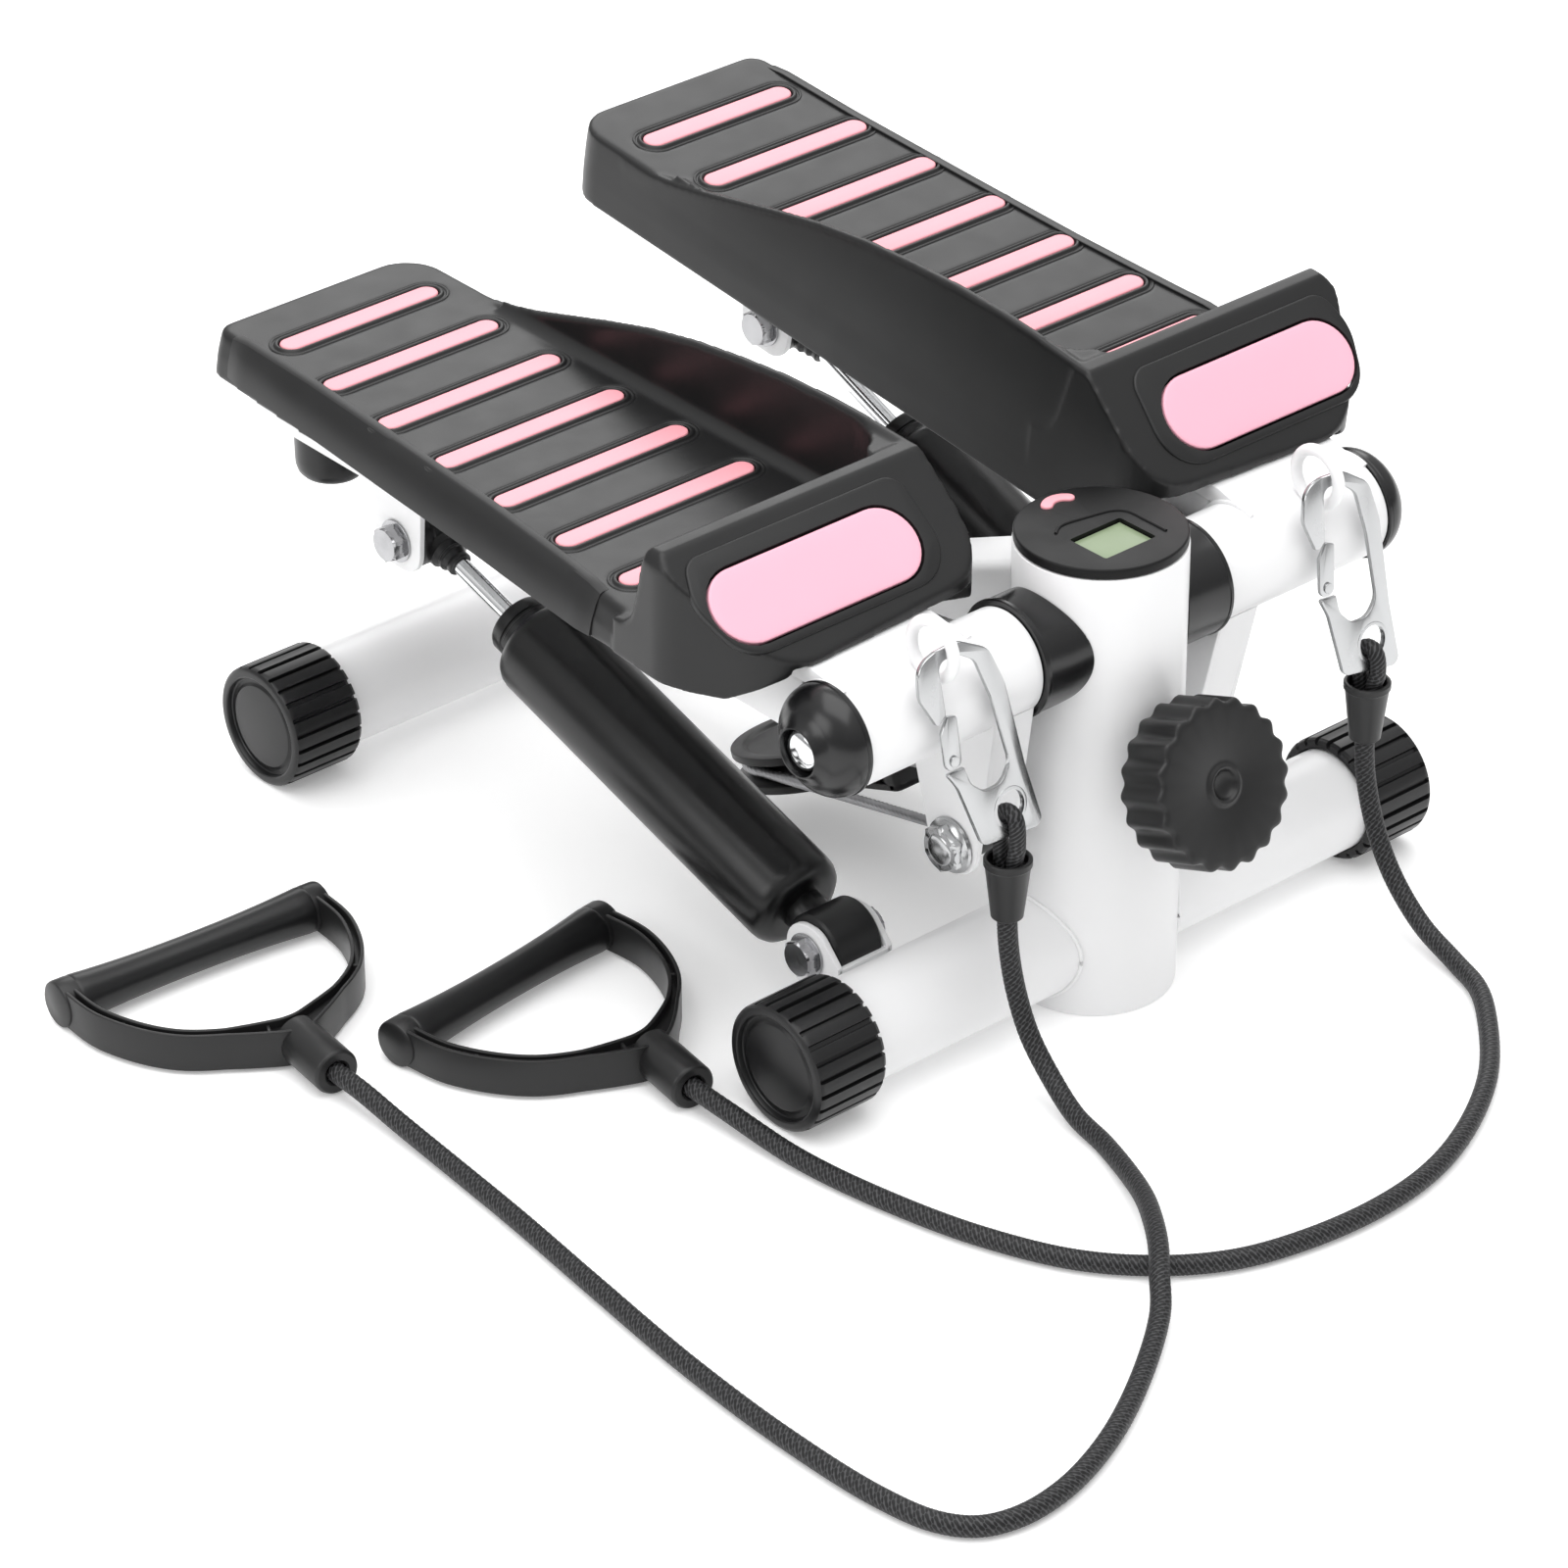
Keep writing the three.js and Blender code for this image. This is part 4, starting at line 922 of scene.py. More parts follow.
def screw():
    """A rod with a rolled thread."""
    pitch, sides = 2.0, 24
    low, high = 8.0, PULLEY_FROM_FACE - PULLEY_R - 14
    rings = [[Vector((0, 0, low))]]
    steps = round((high - low) / (pitch / 6))
    for i in range(steps + 1):
        height = low + (high - low) * i / steps
        ring = []
        for k in range(sides):
            angle = 2 * math.pi * k / sides
            wave = math.cos(2 * math.pi * height / pitch - angle)
            ring.append(Vector((math.cos(angle), math.sin(angle), 0)) * (5.65 + 0.35 * wave)
                        + Vector((0, 0, height)))
        rings.append(ring)
    rings.append([Vector((0, 0, high))])
    return skin(rings)


def yoke():
    """A fork: a block on the screw and an arm above and below the wheel."""
    half, inside, outside = 13, 10.2, 13.5
    end = PULLEY_FROM_FACE + half

    def arm(start, finish, w):
        return rounded([(-w, start, 3), (w, start, 3), (w, finish, w - 0.5), (-w, finish, w - 0.5)])

    fork = merged(
        prism(arm(YOKE_FRONT, YOKE_FRONT + 18, half), -outside, outside, 0.8),
        prism(arm(YOKE_FRONT, end, half), inside, outside, 0.6),
        prism(arm(YOKE_FRONT, end, half), -outside, -inside, 0.6),
    )
    return moved(fork, basis(Vector((1, 0, 0)), SCREW_DIR, PULLEY_NORMAL, KNOB_FACE))


def pulley():
    """A grooved wheel with a hub and a rim that stand proud of its web."""
    floor = GROOVE_R - CABLE_R - 0.5
    side = [(4.5, -8.7), (12, -8.7), (13, -7), (PULLEY_R - 8, -7), (PULLEY_R - 6, -8.7), (PULLEY_R, -8.7),
            (PULLEY_R, -5), (floor, -2.6)]
    rim = [*side, *[(r, -h) for r, h in reversed(side)]]
    return turned(soft(rim, 0.7), PULLEY_CENTRE, PULLEY_NORMAL, sides=120, loop=True)


def pulley_pin():
    half = [(0, -15.5), (5.6, -15.5), (6.5, -15), (6.5, -13.9), (4, -13.9)]
    return turned([*half, *[(r, -h) for r, h in reversed(half)]], PULLEY_CENTRE, PULLEY_NORMAL, sides=48)


for title, shape, finish, node, slot, crease in (
    ("tension_knob_grip", knob(), PLASTIC, "tension_knob", "black_plastic", 50),
    ("tension_screw_thread", screw(), ZINC, "tension_screw", "zinc_steel", 60),
):
    piece(title, moved(shape, SCREW_FRAME), finish, "knob", node, crease)
piece("pulley_yoke_plates", yoke(), PLASTIC, "root", "pulley_yoke")
piece("cable_pulley_wheel", pulley(), PLASTIC, "pulley", "cable_pulley")
piece("pulley_pin_turned", pulley_pin(), ZINC, "root", "pulley_pin")


# ---------------------------------------------------------------- steel cable
def cable_piece(name, points, body=None):
    """Six strands laid round each other."""
    spacing, lay, strands = 1.0, 22.0, 6
    path = smooth_path(points, spacing)

    def radius_at(i, angle):
        return CABLE_R - 0.16 + 0.16 * math.cos(strands * (angle - 2 * math.pi * i * spacing / lay))

    return piece(name, tube(path, CABLE_R, 30, radius_at), CABLE, body, crease=180)


def pedal_matrix(name):
    turn = Matrix.Rotation(math.radians(REST_DEG[name]), 4, "X")
    return Matrix.Translation((0, 0, PIVOT_Z)) @ turn @ Matrix.Diagonal((SIDES[name], 1, 1, 1))


wrap = []
for k in range(25):
    angle = math.radians(180 - 180 * k / 24)
    across = Vector((GROOVE_R * math.cos(angle), 0, 0))
    wrap.append(PULLEY_CENTRE + across + SCREW_DIR * (GROOVE_R * math.sin(angle)))
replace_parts(cable_piece("steel_cable_wrap", wrap, "root"), "steel_cable")
for name, side in SIDES.items():
    bolt_centre = pedal_matrix(name) @ Vector((67, *LUG_BOLT))
    edge = wrap[-1] if side > 0 else wrap[0]
    start = bolt_centre + (edge - bolt_centre).normalized() * 9
    run = cable_piece(f"steel_cable_run_{name}", [start, start.lerp(edge, 0.5), edge + SCREW_DIR])
    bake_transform(run)


# ---------------------------------------------------------------- pedals
SLOPE = math.atan2(GUARD_TOP[1] - GUARD_FRONT[1], GUARD_TOP[0] - 1 - GUARD_FRONT[0])


def strip_outline(v, radius, steps=12):
    """A tread strip's stadium. The strips grow longer towards the toe, but the last one is shorter."""
    share = (v - STRIP_V[-1]) / (STRIP_V[1] - STRIP_V[-1])
    outer_u = 143.6 if v == STRIP_V[0] else 165.4 - 12.7 * share ** 1.6
    return stadium(STRIP_INNER_U, outer_u, v, radius, steps)


def slope_frame():
    """The frame of the toe guard's face: x outwards along u, y up the slope, z out of the face."""
    up = Vector((0, math.cos(SLOPE), math.sin(SLOPE)))
    out = Vector((0, -math.sin(SLOPE), math.cos(SLOPE)))
    return basis(Vector((1, 0, 0)), up, out, Vector((PAD_U, *PAD_ORIGIN)))


def sole_plan(shrink=0.0):
    """The skirt's foot on the floor plan."""
    corners = [(45 + shrink, 20 + shrink, 22), (166, 13.5 + shrink, 34), (194 - shrink, 60, 24)]
    corners += [(u - shrink, v) for u, v in SOLE_EDGE]
    corners += [(163.5 - shrink, 412 - shrink, 9), (45 + shrink, 412 - shrink, 20)]
    return rounded(corners, 10)


def deck_plan():
    """The deck's edge, inside the sole's by the draft of the skirt; corner for corner like sole_plan."""
    corners = [(46, 22, 22), (164, 16, 34), (188, 60, 22), *DECK_EDGE, (159.4, 411, 9), (45.8, 411, 20)]
    return rounded(corners, 10)


def level(plan, w):
    return [Vector((p.x, p.y, w)) for p in plan]


def deck_body():
    """The skirt leans in towards the deck and rolls over into it."""
    sole, deck = sole_plan(), deck_plan()

    def between(share):
        return [a.lerp(b, share) for a, b in zip(sole, deck)]

    rings = [level(sole, -8), level(sole, 8), level(between(0.35), 20), level(between(0.8), 28)]
    return capped([*rings, level(deck, 30.2), level(inset(deck, 1.6), DECK_TOP)])


def toe_guard():
    """The guard's side view, trimmed by its plan and by its front view."""
    side = [(13, 20), (26, 6), (31, -7.3), (95.7, -7.3), (95.7, 30.3), (88, 31.5), (83.5, 36), (80, 44),
            (73.5, GUARD_TOP[1]), (66, GUARD_TOP[1]), (13, 28.1)]
    front = rounded([(44, -12), (195, -12), (196, 40), (193, 73, 14), (182, 76, 10), (58, 76, 8),
                     (44, 74, 8)])
    body = combined(plate(side, "x", 40, 200), [prism(sole_plan(), -20, 90)], "INTERSECT")
    return combined(body, [plate(front, "y", -20, 120)], "INTERSECT")


def inner_wall():
    """The wall that rises towards the toe, a fillet at its foot and one where it meets the guard."""
    rim = [(374, 28.4), (356, 30.2), (338, 33), (320, 37.4), (300, 43.2), (270, 52), (240, 60), (210, 66),
           (180, 70), (150, 73), (120, 74.2), (100, 74), (70, 72.4)]
    wall = plate([*rim, (60, 40), (60, 10), (374, 10)], "x", 45.3, 49.8, 0.8)
    foot = plate([(48, 26), (58, 26), (58, 30.5), (53.5, 31.8), (50.4, 34), (49, 38)], "y", 88, 340)
    corner = [(48, 70), (66, 76), (62, 81), (57, 84), (53, 89), (50.6, 96), (49.6, 104), (48, 104)]
    return merged(wall, foot, prism(corner, 28, 71.4))


def pedal_shell():
    """The moulded tray: deck, leaning skirts, toe guard and the rising inner wall."""
    solid = combined(deck_body(), [toe_guard()], "UNION")
    underside = [(-10, -60), (-10, 27), (13.5, 27), (26, 18), (42, 9), (80, SOLE), (420, SOLE), (420, -60)]
    below = plate(underside, "x", 30, 210)
    lift = plate([(38, -41), (38, SOLE - 0.7), (203, 14.3), (203, -41)], "y", -5, 425)
    hollow = combined(prism(sole_plan(8.5), -30, 26), [block((30, 210), (92, 408), (-40, 60))], "INTERSECT")
    front_hollow = block((54, 160), (-10, 94), (-30, 26.9))
    seat = moved(prism(stadium(-PAD_HALF, PAD_HALF, 0, PAD_R + 1.1), -3.2, 12), slope_frame())
    slots = [prism(strip_outline(v, STRIP_R + 3.6), 20, 40) for v in STRIP_V]
    tray = combined(solid, [below, lift, hollow, front_hollow, seat, *slots])
    return moulded(merged(tray, inner_wall()), 1.25, 5)


def strip_rims():
    """A moulded rim round each slot, with a groove and a low outer line."""
    section = [(0.6, -5), (0.6, 0.1), (0.8, 0.55), (1.3, 0.85), (1.9, 0.85), (2.4, 0.5), (2.7, -0.1),
               (3.1, -0.35),
               (3.6, -0.3), (3.9, 0.1), (4.3, 0.22), (4.8, 0.1), (5.2, -0.5), (5.2, -5)]
    rims = []
    for v in STRIP_V:
        rings = [level(strip_outline(v, STRIP_R + out, 14), DECK_TOP + rise) for out, rise in section]
        rims.append(skin(rings, loop=True))
    return merged(*rims)


def skirt_strip():
    """The raised strip that wraps the deck's outer edge, with turned-down ends."""
    deck, sole = edge_line([*DECK_EDGE, (159.6, 405)]), edge_line([*SOLE_EDGE, (163.8, 405)])
    rings = []
    start, end, steps = 113, 397, 60
    for i in range(steps + 1):
        v = start + (end - start) * i / steps
        fade = min(1, i / 2, (steps - i) / 2)
        top, foot = deck(v), sole(v)
        bottom = max(SOLE + 20 * (foot - 45) / 151 - 5, 12.5)
        proud = 0.1 + 1.1 * fade
        outer = [(top - 4.8, DECK_TOP - 0.9), (top - 4.8, DECK_TOP + proud - 0.2),
                 (top - 4.5, DECK_TOP + proud),
                 (top - 1.2, DECK_TOP + proud), (top + 0.2, DECK_TOP + proud - 0.6),
                 (top + (foot - top) * 0.35 + proud, 26.5), (top + (foot - top) * 0.75 + proud, 19),
                 (foot + proud - 0.4, bottom), (foot - 1.6, bottom), (top - 2, 27)]
        rings.append([Vector((u, v, w)) for u, w in outer])
    return capped(rings)


def edge_line(points):
    """The u of a line of (u, v) points at any v."""
    def at(v):
        for (u0, v0), (u1, v1) in zip(points, points[1:]):
            if v <= v1:
                return u0 + (u1 - u0) * (v - v0) / (v1 - v0)
        return points[-1][0]

    return at


def face_frame():
    """The raised plateau of the toe guard's face round the pad."""
    outline = rounded([(-66, -22.5, 20), (52, -22.5, 20), (62, 8, 24), (55, 27.5, 10), (-63, 27.5, 10)], 10)
    plateau = prism(outline, -2.5, 1.1, 1.0)
    seat = prism(stadium(-PAD_HALF, PAD_HALF, 0, PAD_R + 1.3), -6, 6)
    return combined(plateau, [seat])


def tread_strips():
    proud = DECK_TOP + 0.8
    return merged(*[prism(strip_outline(v, STRIP_R, 14), 24.2, proud, 0.9, 4) for v in STRIP_V])


def toe_pad():
    """A pillowed stadium that lies in its seat."""
    section = [(0, -2.2), (0, 0.5), (0.2, 0.9), (0.6, 1.15), (1.4, 1.25), (6, 1.3), (12, 1.3)]
    rings = [level(stadium(-PAD_HALF, PAD_HALF, 0, PAD_R - depth, 20), height) for depth, height in section]
    return moved(capped(rings), slope_frame())


def sleeve_arm():
    """The sleeve and the pressed steel arm, lugs and hangers welded to it."""
    (u0, u1), r, bore = SLEEVE_U, TUBE_R, TUBE_R - TUBE_WALL
    sleeve = turned(soft([(bore, u0), (r, u0), (r, u1), (bore, u1), (bore, u0)], 0.5)[:-1], (0, 0, 0),
                    (1, 0, 0),
                    sides=128, loop=True)
    inner, outer = ARM_U
    channel = rounded([(inner, -9), (inner, 19.5, 3), (outer, 19.5, 3), (outer, -9), (outer - 3, -9),
                       (outer - 3, 16.5, 1), (inner + 3, 16.5, 1), (inner + 3, -9)], 4)
    saddle = rounded([(62, 17), (62, 26.4, 2), (14, 26.4, 20), (-7, 22.9), (0, 22.2), (14, 18)], 6)
    parts = [sleeve, plate(channel, "y", 20, 397, 0.5), plate(saddle, "x", inner, outer, 0.5)]
    lug = rounded([(-20, -12), (-11, -85), (-7, -97, 12), (16, -97, 12), (46, 4), (20, 8)], 8)
    parts += [plate(lug, "x", a, b, 0.6) for a, b in LUG_U]
    web = [(-20, -14), (-16, -14), (-9.5, -68), (-12.8, -68)]
    parts.append(plate(web, "x", LUG_U[0][0] + 1, LUG_U[1][1] - 1, 0.3))
    v, w = DAMPER_TOP
    hanger = rounded([(v - 20, 17), (v - 15.5, w - 14, 12), (v + 15.5, w - 14, 12), (v + 20, 17)], 10)
    parts += [plate(hanger, "x", a, a + 3, 0.5) for a in (96, 125)]
    for u in ARM_U:
        weld = [Vector((u, y, z)) for y, z in arc((0, 0), r + 0.4, 25, 105, 24)]
        parts.append(tube(weld, 1.3, 8))
    return merged(*parts)


def outer_cap():
    """A domed cap with a seam ring and a collar round the axle's end."""
    profile = [(10.4, -10), (21.7, -10), (21.7, 0.3), (25.1, 0.3), (25.5, 0.8), (25.5, 2.0), (25.1, 2.4),
               (24.9, 2.6), (25.1, 2.9)]
    turns = [math.radians(52 * k / 14) for k in range(1, 15)]
    profile += [(25.1 * math.cos(a), 3 + 16.4 * math.sin(a)) for a in turns]
    profile += [(14.2, 17.2), (12.6, 18.4), (11.8, 19.6), (11.2, 20.2), (10.6, 20.1), (10.4, 19.4)]
    return turned(profile, (SLEEVE_U[1], 0, 0), (1, 0, 0), sides=96, loop=True)


def cord_ring(name):
    """A ring across the sleeve, trimmed where it is welded on. It is upright while the pedal is at rest."""
    turn = math.radians(-REST_DEG[name])
    y, z = RING_CENTRE[0], RING_CENTRE[1] - PIVOT_Z
    centre = (RING_X, y * math.cos(turn) - z * math.sin(turn), y * math.sin(turn) + z * math.cos(turn))
    section = [(RING_R + p.x, p.y) for p in ring_points(RING_TUBE, 20)]
    ring = turned(section, centre, (1, 0, 0), sides=80, loop=True)
    r, half = TUBE_R + 0.1, 40
    sleeve = turned([(0, -half), (r, -half), (r, half), (0, half)], (RING_X, 0, 0), (1, 0, 0), sides=96)
    return combined(ring, [sleeve])


def bumper():
    """The rubber foot under the heel end."""
    profile = [(0, -48), (11, -48), (14, -47.2), (15.8, -45.2), (16.8, -42), (17, -38), (17.6, -4),
               (17.6, 25.5), (0, 25.5)]
    return turned(profile, (*BUMPER, 0), (0, 0, 1), sides=96)


def hex_prism(radius, length, chamfer=0.8):
    """A bolt's hexagon about +Z with its corners chamfered at both ends."""
    flat = radius * math.cos(math.pi / 6)

    def hexagon(r, height, angle):
        if r < flat - 1:
            return r
        edge = flat / math.cos((angle + math.pi / 6) % (math.pi / 3) - math.pi / 6)
        return min(edge, r)

    profile = [(0, 0), (flat - 1.6, 0), (flat - 0.2, 0), (radius, chamfer), (radius, length - chamfer),
               (flat - 0.2, length), (0, length)]
    return lathe(profile, sides=72, radius_at=hexagon)


def lug_bolt():
    """A through bolt with a domed end,
    a flange and a nut outside the lugs and a nut and a washer inside."""
    turns = [math.radians(9 * k) for k in range(10, -1, -1)]
    dome = [(7.4 * math.sin(a), 86.4 + 1.8 * math.cos(a)) for a in turns]
    profile = [(0, 46), (4.6, 46), (5.2, 46.8), (5, 79.2), (12.4, 79.3), (13, 80), (12.6, 81.4),
               (10.4, 82.4),
               (9.6, 83.2), (9.2, 85.6), (8.6, 86.3), *dome]
    nuts = [moved(hex_prism(11.4, 4.6), frame_along((82, *LUG_BOLT), (1, 0, 0))),
            moved(hex_prism(11.4, 6.4), frame_along((54.2, *LUG_BOLT), (-1, 0, 0)))]
    section = soft([(5, 0), (13.2, 0), (13.2, 1.6), (5, 1.6), (5, 0)], 0.4)[:-1]
    washer = turned(section, (54.2, *LUG_BOLT), (1, 0, 0), sides=48, loop=True)
    return merged(turned(profile, (0, *LUG_BOLT), (1, 0, 0), sides=64), *nuts, washer)


def cable_end():
    """The black fitting on the cable's eye, between the lugs."""
    section = soft([(5.2, -7), (9.5, -7), (9.5, 7), (5.2, 7), (5.2, -7)], 0.8)[:-1]
    return turned(section, (67, *LUG_BOLT), (1, 0, 0), sides=48, loop=True)


def bolt(x, y, z, shank, head_length, nut_length):
    """A bolt along X: a hexagon head on its low side, a nut and a thread end on the other, two washers."""
    half, head_r, washer_r = BOLT_HALF, 9, 10.2
    head = moved(hex_prism(head_r, head_length), frame_along((x - half, y, z), (-1, 0, 0)))
    nut = moved(hex_prism(head_r, nut_length), frame_along((x + half, y, z), (1, 0, 0)))
    tip = half + nut_length
    rod = [(0, -half - 0.5), (shank, -half - 0.5), (shank, tip + 0.6), (shank - 0.8, tip + 1.4),
           (0, tip + 1.4)]
    section = soft([(shank, 0), (washer_r, 0), (washer_r, 1.1), (shank, 1.1), (shank, 0)], 0.3)[:-1]
    washers = [turned(section, (x + way * half, y, z), (way, 0, 0), sides=48, loop=True) for way in (-1, 1)]
    return merged(head, nut, turned(rod, (x, y, z), (1, 0, 0), sides=32), *washers)


SHELL = pedal_shell()
for name, side in SIDES.items():
    body = f"pedal_{name}"
    place = pedal_matrix(name)
    for title, shape, finish, cad, slot, crease in (
        ("shell_tray", SHELL, PLASTIC, "pedal_shell", "black_plastic", 60),
        ("shell_strip_rims", strip_rims(), PLASTIC, None, "black_plastic", 60),
        ("shell_skirt_strip", skirt_strip(), PLASTIC, None, "black_plastic", 30),
        ("shell_face_frame", moved(face_frame(), slope_frame()), PLASTIC, None, "black_plastic", 50),
        ("toe_pad_pillow", toe_pad(), PAD_PINK, "toe_pad", "pink_pad", 40),
        ("tread_strips_pink", tread_strips(), PINK, "tread_strips", "pink_pad", 50),
        ("sleeve_arm_welded", sleeve_arm(), WHITE, "sleeve_arm", "white_paint", 32),
        ("outer_cap_dome", outer_cap(), GLOSS, "outer_cap", "gloss_black", 30),
        ("cord_ring_welded", cord_ring(name), WHITE, "cord_ring", "white_paint", 40),
        ("bumper_foot", bumper(), RUBBER, "bumper", "black_rubber", 30),
        ("lug_bolt_flanged", lug_bolt(), HOOK_STEEL, "lug_bolt", "zinc_steel", 30),
        ("cable_end_fitting", cable_end(), PLASTIC, None, "black_plastic", 40),
    ):
        piece(f"{title}_{name}", shape, finish, body, f"{cad}_{name}" if cad else (), crease, place)
    unmirrored = place @ Matrix.Diagonal((side, 1, 1, 1))
    node = f"damper_bolt_upper_{name}"
    upper_bolt = bolt(side * DAMPER_U, *DAMPER_TOP, 4, 7.5, 6.5)
    piece(f"{node}_hex", upper_bolt, ZINC, body, node, 30, unmirrored)


# ---------------------------------------------------------------- dampers
def damper_bracket(x):
    """A folded base plate with two round-ended ears."""
    y, z = DAMPER_FOOT
    back = TUBE_R + 0.3
    base = block((x - EAR_X[0] - 1.4, x + EAR_X[0] + 1.4), (back, back + 3), (21, 42), 0.3)
    ear = rounded([(back, 20), (y + 3, 22, 6), (y + 14, z - 9, 11), (y + 14, z + 14, 13),
                   (y - 7, z + 14, 11), (back, 43)])
    ears = [plate(ear, "x", *sorted((x + way * EAR_X[0], x + way * EAR_X[1])), 0.5) for way in (-1, 1)]
    return merged(base, *ears)


def damper_body():
    """A cylinder along +Z with rounded shoulders, a link at its foot and a neck with a groove."""
    r, bore = DAMPER_R, ROD_R + 0.6
    body = [(0, 12), (10, 12), (10, 22.5), (r - 8, 22.5), (r - 4.4, 23.3), (r - 1.8, 25.4), (r - 0.4, 28.4),
            (r, 32), (r, 204), (r - 0.5, 207), (r - 1.8, 209.6), (r - 4, 211.4), (r - 6.4, 212),
            (15.6, 212), (15.6, 213.4), (15, 214), (15, 217), (14.4, 217.5), (14.4, 218.5), (15, 219),
            (15, 223.6), (14.2, 225), (7, 225), (5.8, 224.2), (bore, 222), (bore, 206), (0, 206)]
    return lathe(body, sides=128)


def rubber_eye(centre, radius, half, bore, ridges):
    """A rubber eye along X, with ridges round it if there are any."""
    profile = [(bore, -half), (radius - 1.5, -half), (radius - 0.6, -half + 0.5), (radius, -half + 1.3)]
    for k in range(ridges):
        start = -half + 1.4 + (2 * half - 2.8) * k / ridges
        width = (2 * half - 2.8) / ridges
        profile += [(radius, start + width * 0.1), (radius, start + width * 0.7),
                    (radius - 0.9, start + width * 0.8), (radius - 0.9, start + width * 0.97)]
    profile += [(radius, half - 1.3), (radius - 0.6, half - 0.5), (radius - 1.5, half), (bore, half)]
    return turned(profile, centre, (1, 0, 0), sides=64, loop=True)


def damper_rod(length):
    low, high = 150, length - 12
    return lathe([(0, low), (ROD_R, low), (ROD_R, high), (0, high)], sides=64)


def rod_boot(length):
    """The rubber neck between the rod and its eye."""
    profile = [(4.3, -27), (5.6, -27), (6, -26.4), (6, -24.6), (5.7, -24), (6.8, -21.6), (7.2, -21.4),
               (7.2, -19.8), (6.9, -19.4), (8.4, -17), (8.8, -16.8), (8.8, -15.4), (9.4, -13), (4.3, -13)]
    return lathe([(r, length + h) for r, h in profile], sides=64, loop=True)


for name, side in SIDES.items():
    foot = Vector((side * DAMPER_U, *DAMPER_FOOT))
    top = pedal_matrix(name) @ Vector((DAMPER_U, *DAMPER_TOP))
    along = frame_along(foot, top - foot)
    reach = (top - foot).length
    rod_eye = merged(rubber_eye(top, 15, 12.3, 9.4, 4), moved(rod_boot(reach), along))
    base, cylinder, rod = "root", f"damper_body_{name}", f"damper_piston_{name}"
    for title, shape, finish, body, cad, slot, crease in (
        ("bracket_{}_folded", damper_bracket(foot.x), WHITE, base, "bracket", "white_paint", 32),
        ("bolt_lower_{}_hex", bolt(*foot, 5, 6.5, 6), ZINC, base, "bolt_lower", "zinc_steel", 32),
        ("cylinder_{}_body", moved(damper_body(), along), DAMPER, cylinder, "cylinder", "damper_paint", 40),
        ("cylinder_{}_eye", rubber_eye(foot, 17, 12.6, 5.3, 0), RUBBER, cylinder, None, "black_rubber", 32),
        ("rod_{}_turned", moved(damper_rod(reach), along), CHROME, rod, "rod", "chrome", 32),
        ("rod_{}_eye", rod_eye, RUBBER, rod, None, "black_rubber", 32),
    ):
        node = f"damper_{cad}_{name}" if cad else ()
        piece("damper_" + title.format(name), shape, finish, body, node, crease)


# ---------------------------------------------------------------- snap hooks and ferrules
def hook_matrix(name):
    lean = math.radians(HOOK_LEAN)
    down = Vector((0, -math.sin(lean), -math.cos(lean)))
    right = Vector((1, 0, 0))
    place = basis(right, down, right.cross(down), Vector((SIDES[name] * RING_X, *HOOK_TOP)))
    return place @ Matrix.Rotation(math.radians(HOOK_TURN[name]), 4, "Z")


def hook_plate(outline, thick, edge):
    return prism(rounded(outline), -thick / 2, thick / 2, edge, 2)


def hook():
    """The hook's plate with an eyelet for the cord."""
    a, b, r = HOOK_HOLE
    place = Matrix.Translation((a, b, 0))
    hole = moved(lathe([(0, -9), (r, -9), (r, 9), (0, 9)], sides=48), place)
    low, high = r - 0.5, r + 1.2
    section = soft([(low, -1.5), (high, -1.5), (high, 1.5), (low, 1.5), (low, -1.5)], 0.5)[:-1]
    eyelet = moved(lathe(section, sides=48, loop=True), place)
    return merged(combined(hook_plate(HOOK_BODY, HOOK_THICK, 0.55), [hole]), eyelet)


def gate():
    """The gate's plate on its pin."""
    pin = moved(lathe(soft([(0, -1.9), (2.4, -1.9), (2.4, 1.9), (0, 1.9)], 0.4), sides=32),
                Matrix.Translation((-1.8, 46.8, 0)))
    return merged(hook_plate(HOOK_GATE, HOOK_THICK - 0.6, 0.4), pin)


def ferrule():
    """A tapered sleeve with a rolled rim, hollow at both ends. Along +Z."""
    top = FERRULE_LENGTH
    profile = [(4.6, 4), (4.6, 0.6), (5.2, 0), (6.6, 0), (7.1, 0.5), (7.2, 1.6), (9.9, top - 4.2),
               (10.1, top - 3.6), (10.6, top - 3.2), (10.6, top - 0.7), (10.1, top - 0.1), (9.2, top),
               (8.6, top - 0.6), (8.2, top - 5), (0, top - 7), (0, 4)]
    return lathe(profile, sides=72)


def cord_loop(name):
    """The cord's end doubled through the hook's hole and back into the ferrule."""
    hole = hook_matrix(name) @ Vector((HOOK_HOLE[0], HOOK_HOLE[1] + 3.2, 0))
    foot = FERRULE[name] - Vector((0, 0, 9))
    half = 3.9
    route = [foot + Vector((0, -half, 0)), foot + Vector((0, -half - 0.3, 9)),
             hole.lerp(foot, 0.45) + Vector((0, -half - 1.6, 0)), hole + Vector((0, -half - 0.4, -2.4)),
             hole + Vector((0, -1.9, 0.2)), hole + Vector((0, 1.9, 0.2)),
             hole + Vector((0, half + 0.4, -2.4)),
             hole.lerp(foot, 0.45) + Vector((0, half + 1.2, 0)), foot + Vector((0, half + 0.3, 9)),
             foot + Vector((0, half, 0))]
    return braid(smooth_path(route, LOOP_STEP), LOOP_R, LOOP_STEP)


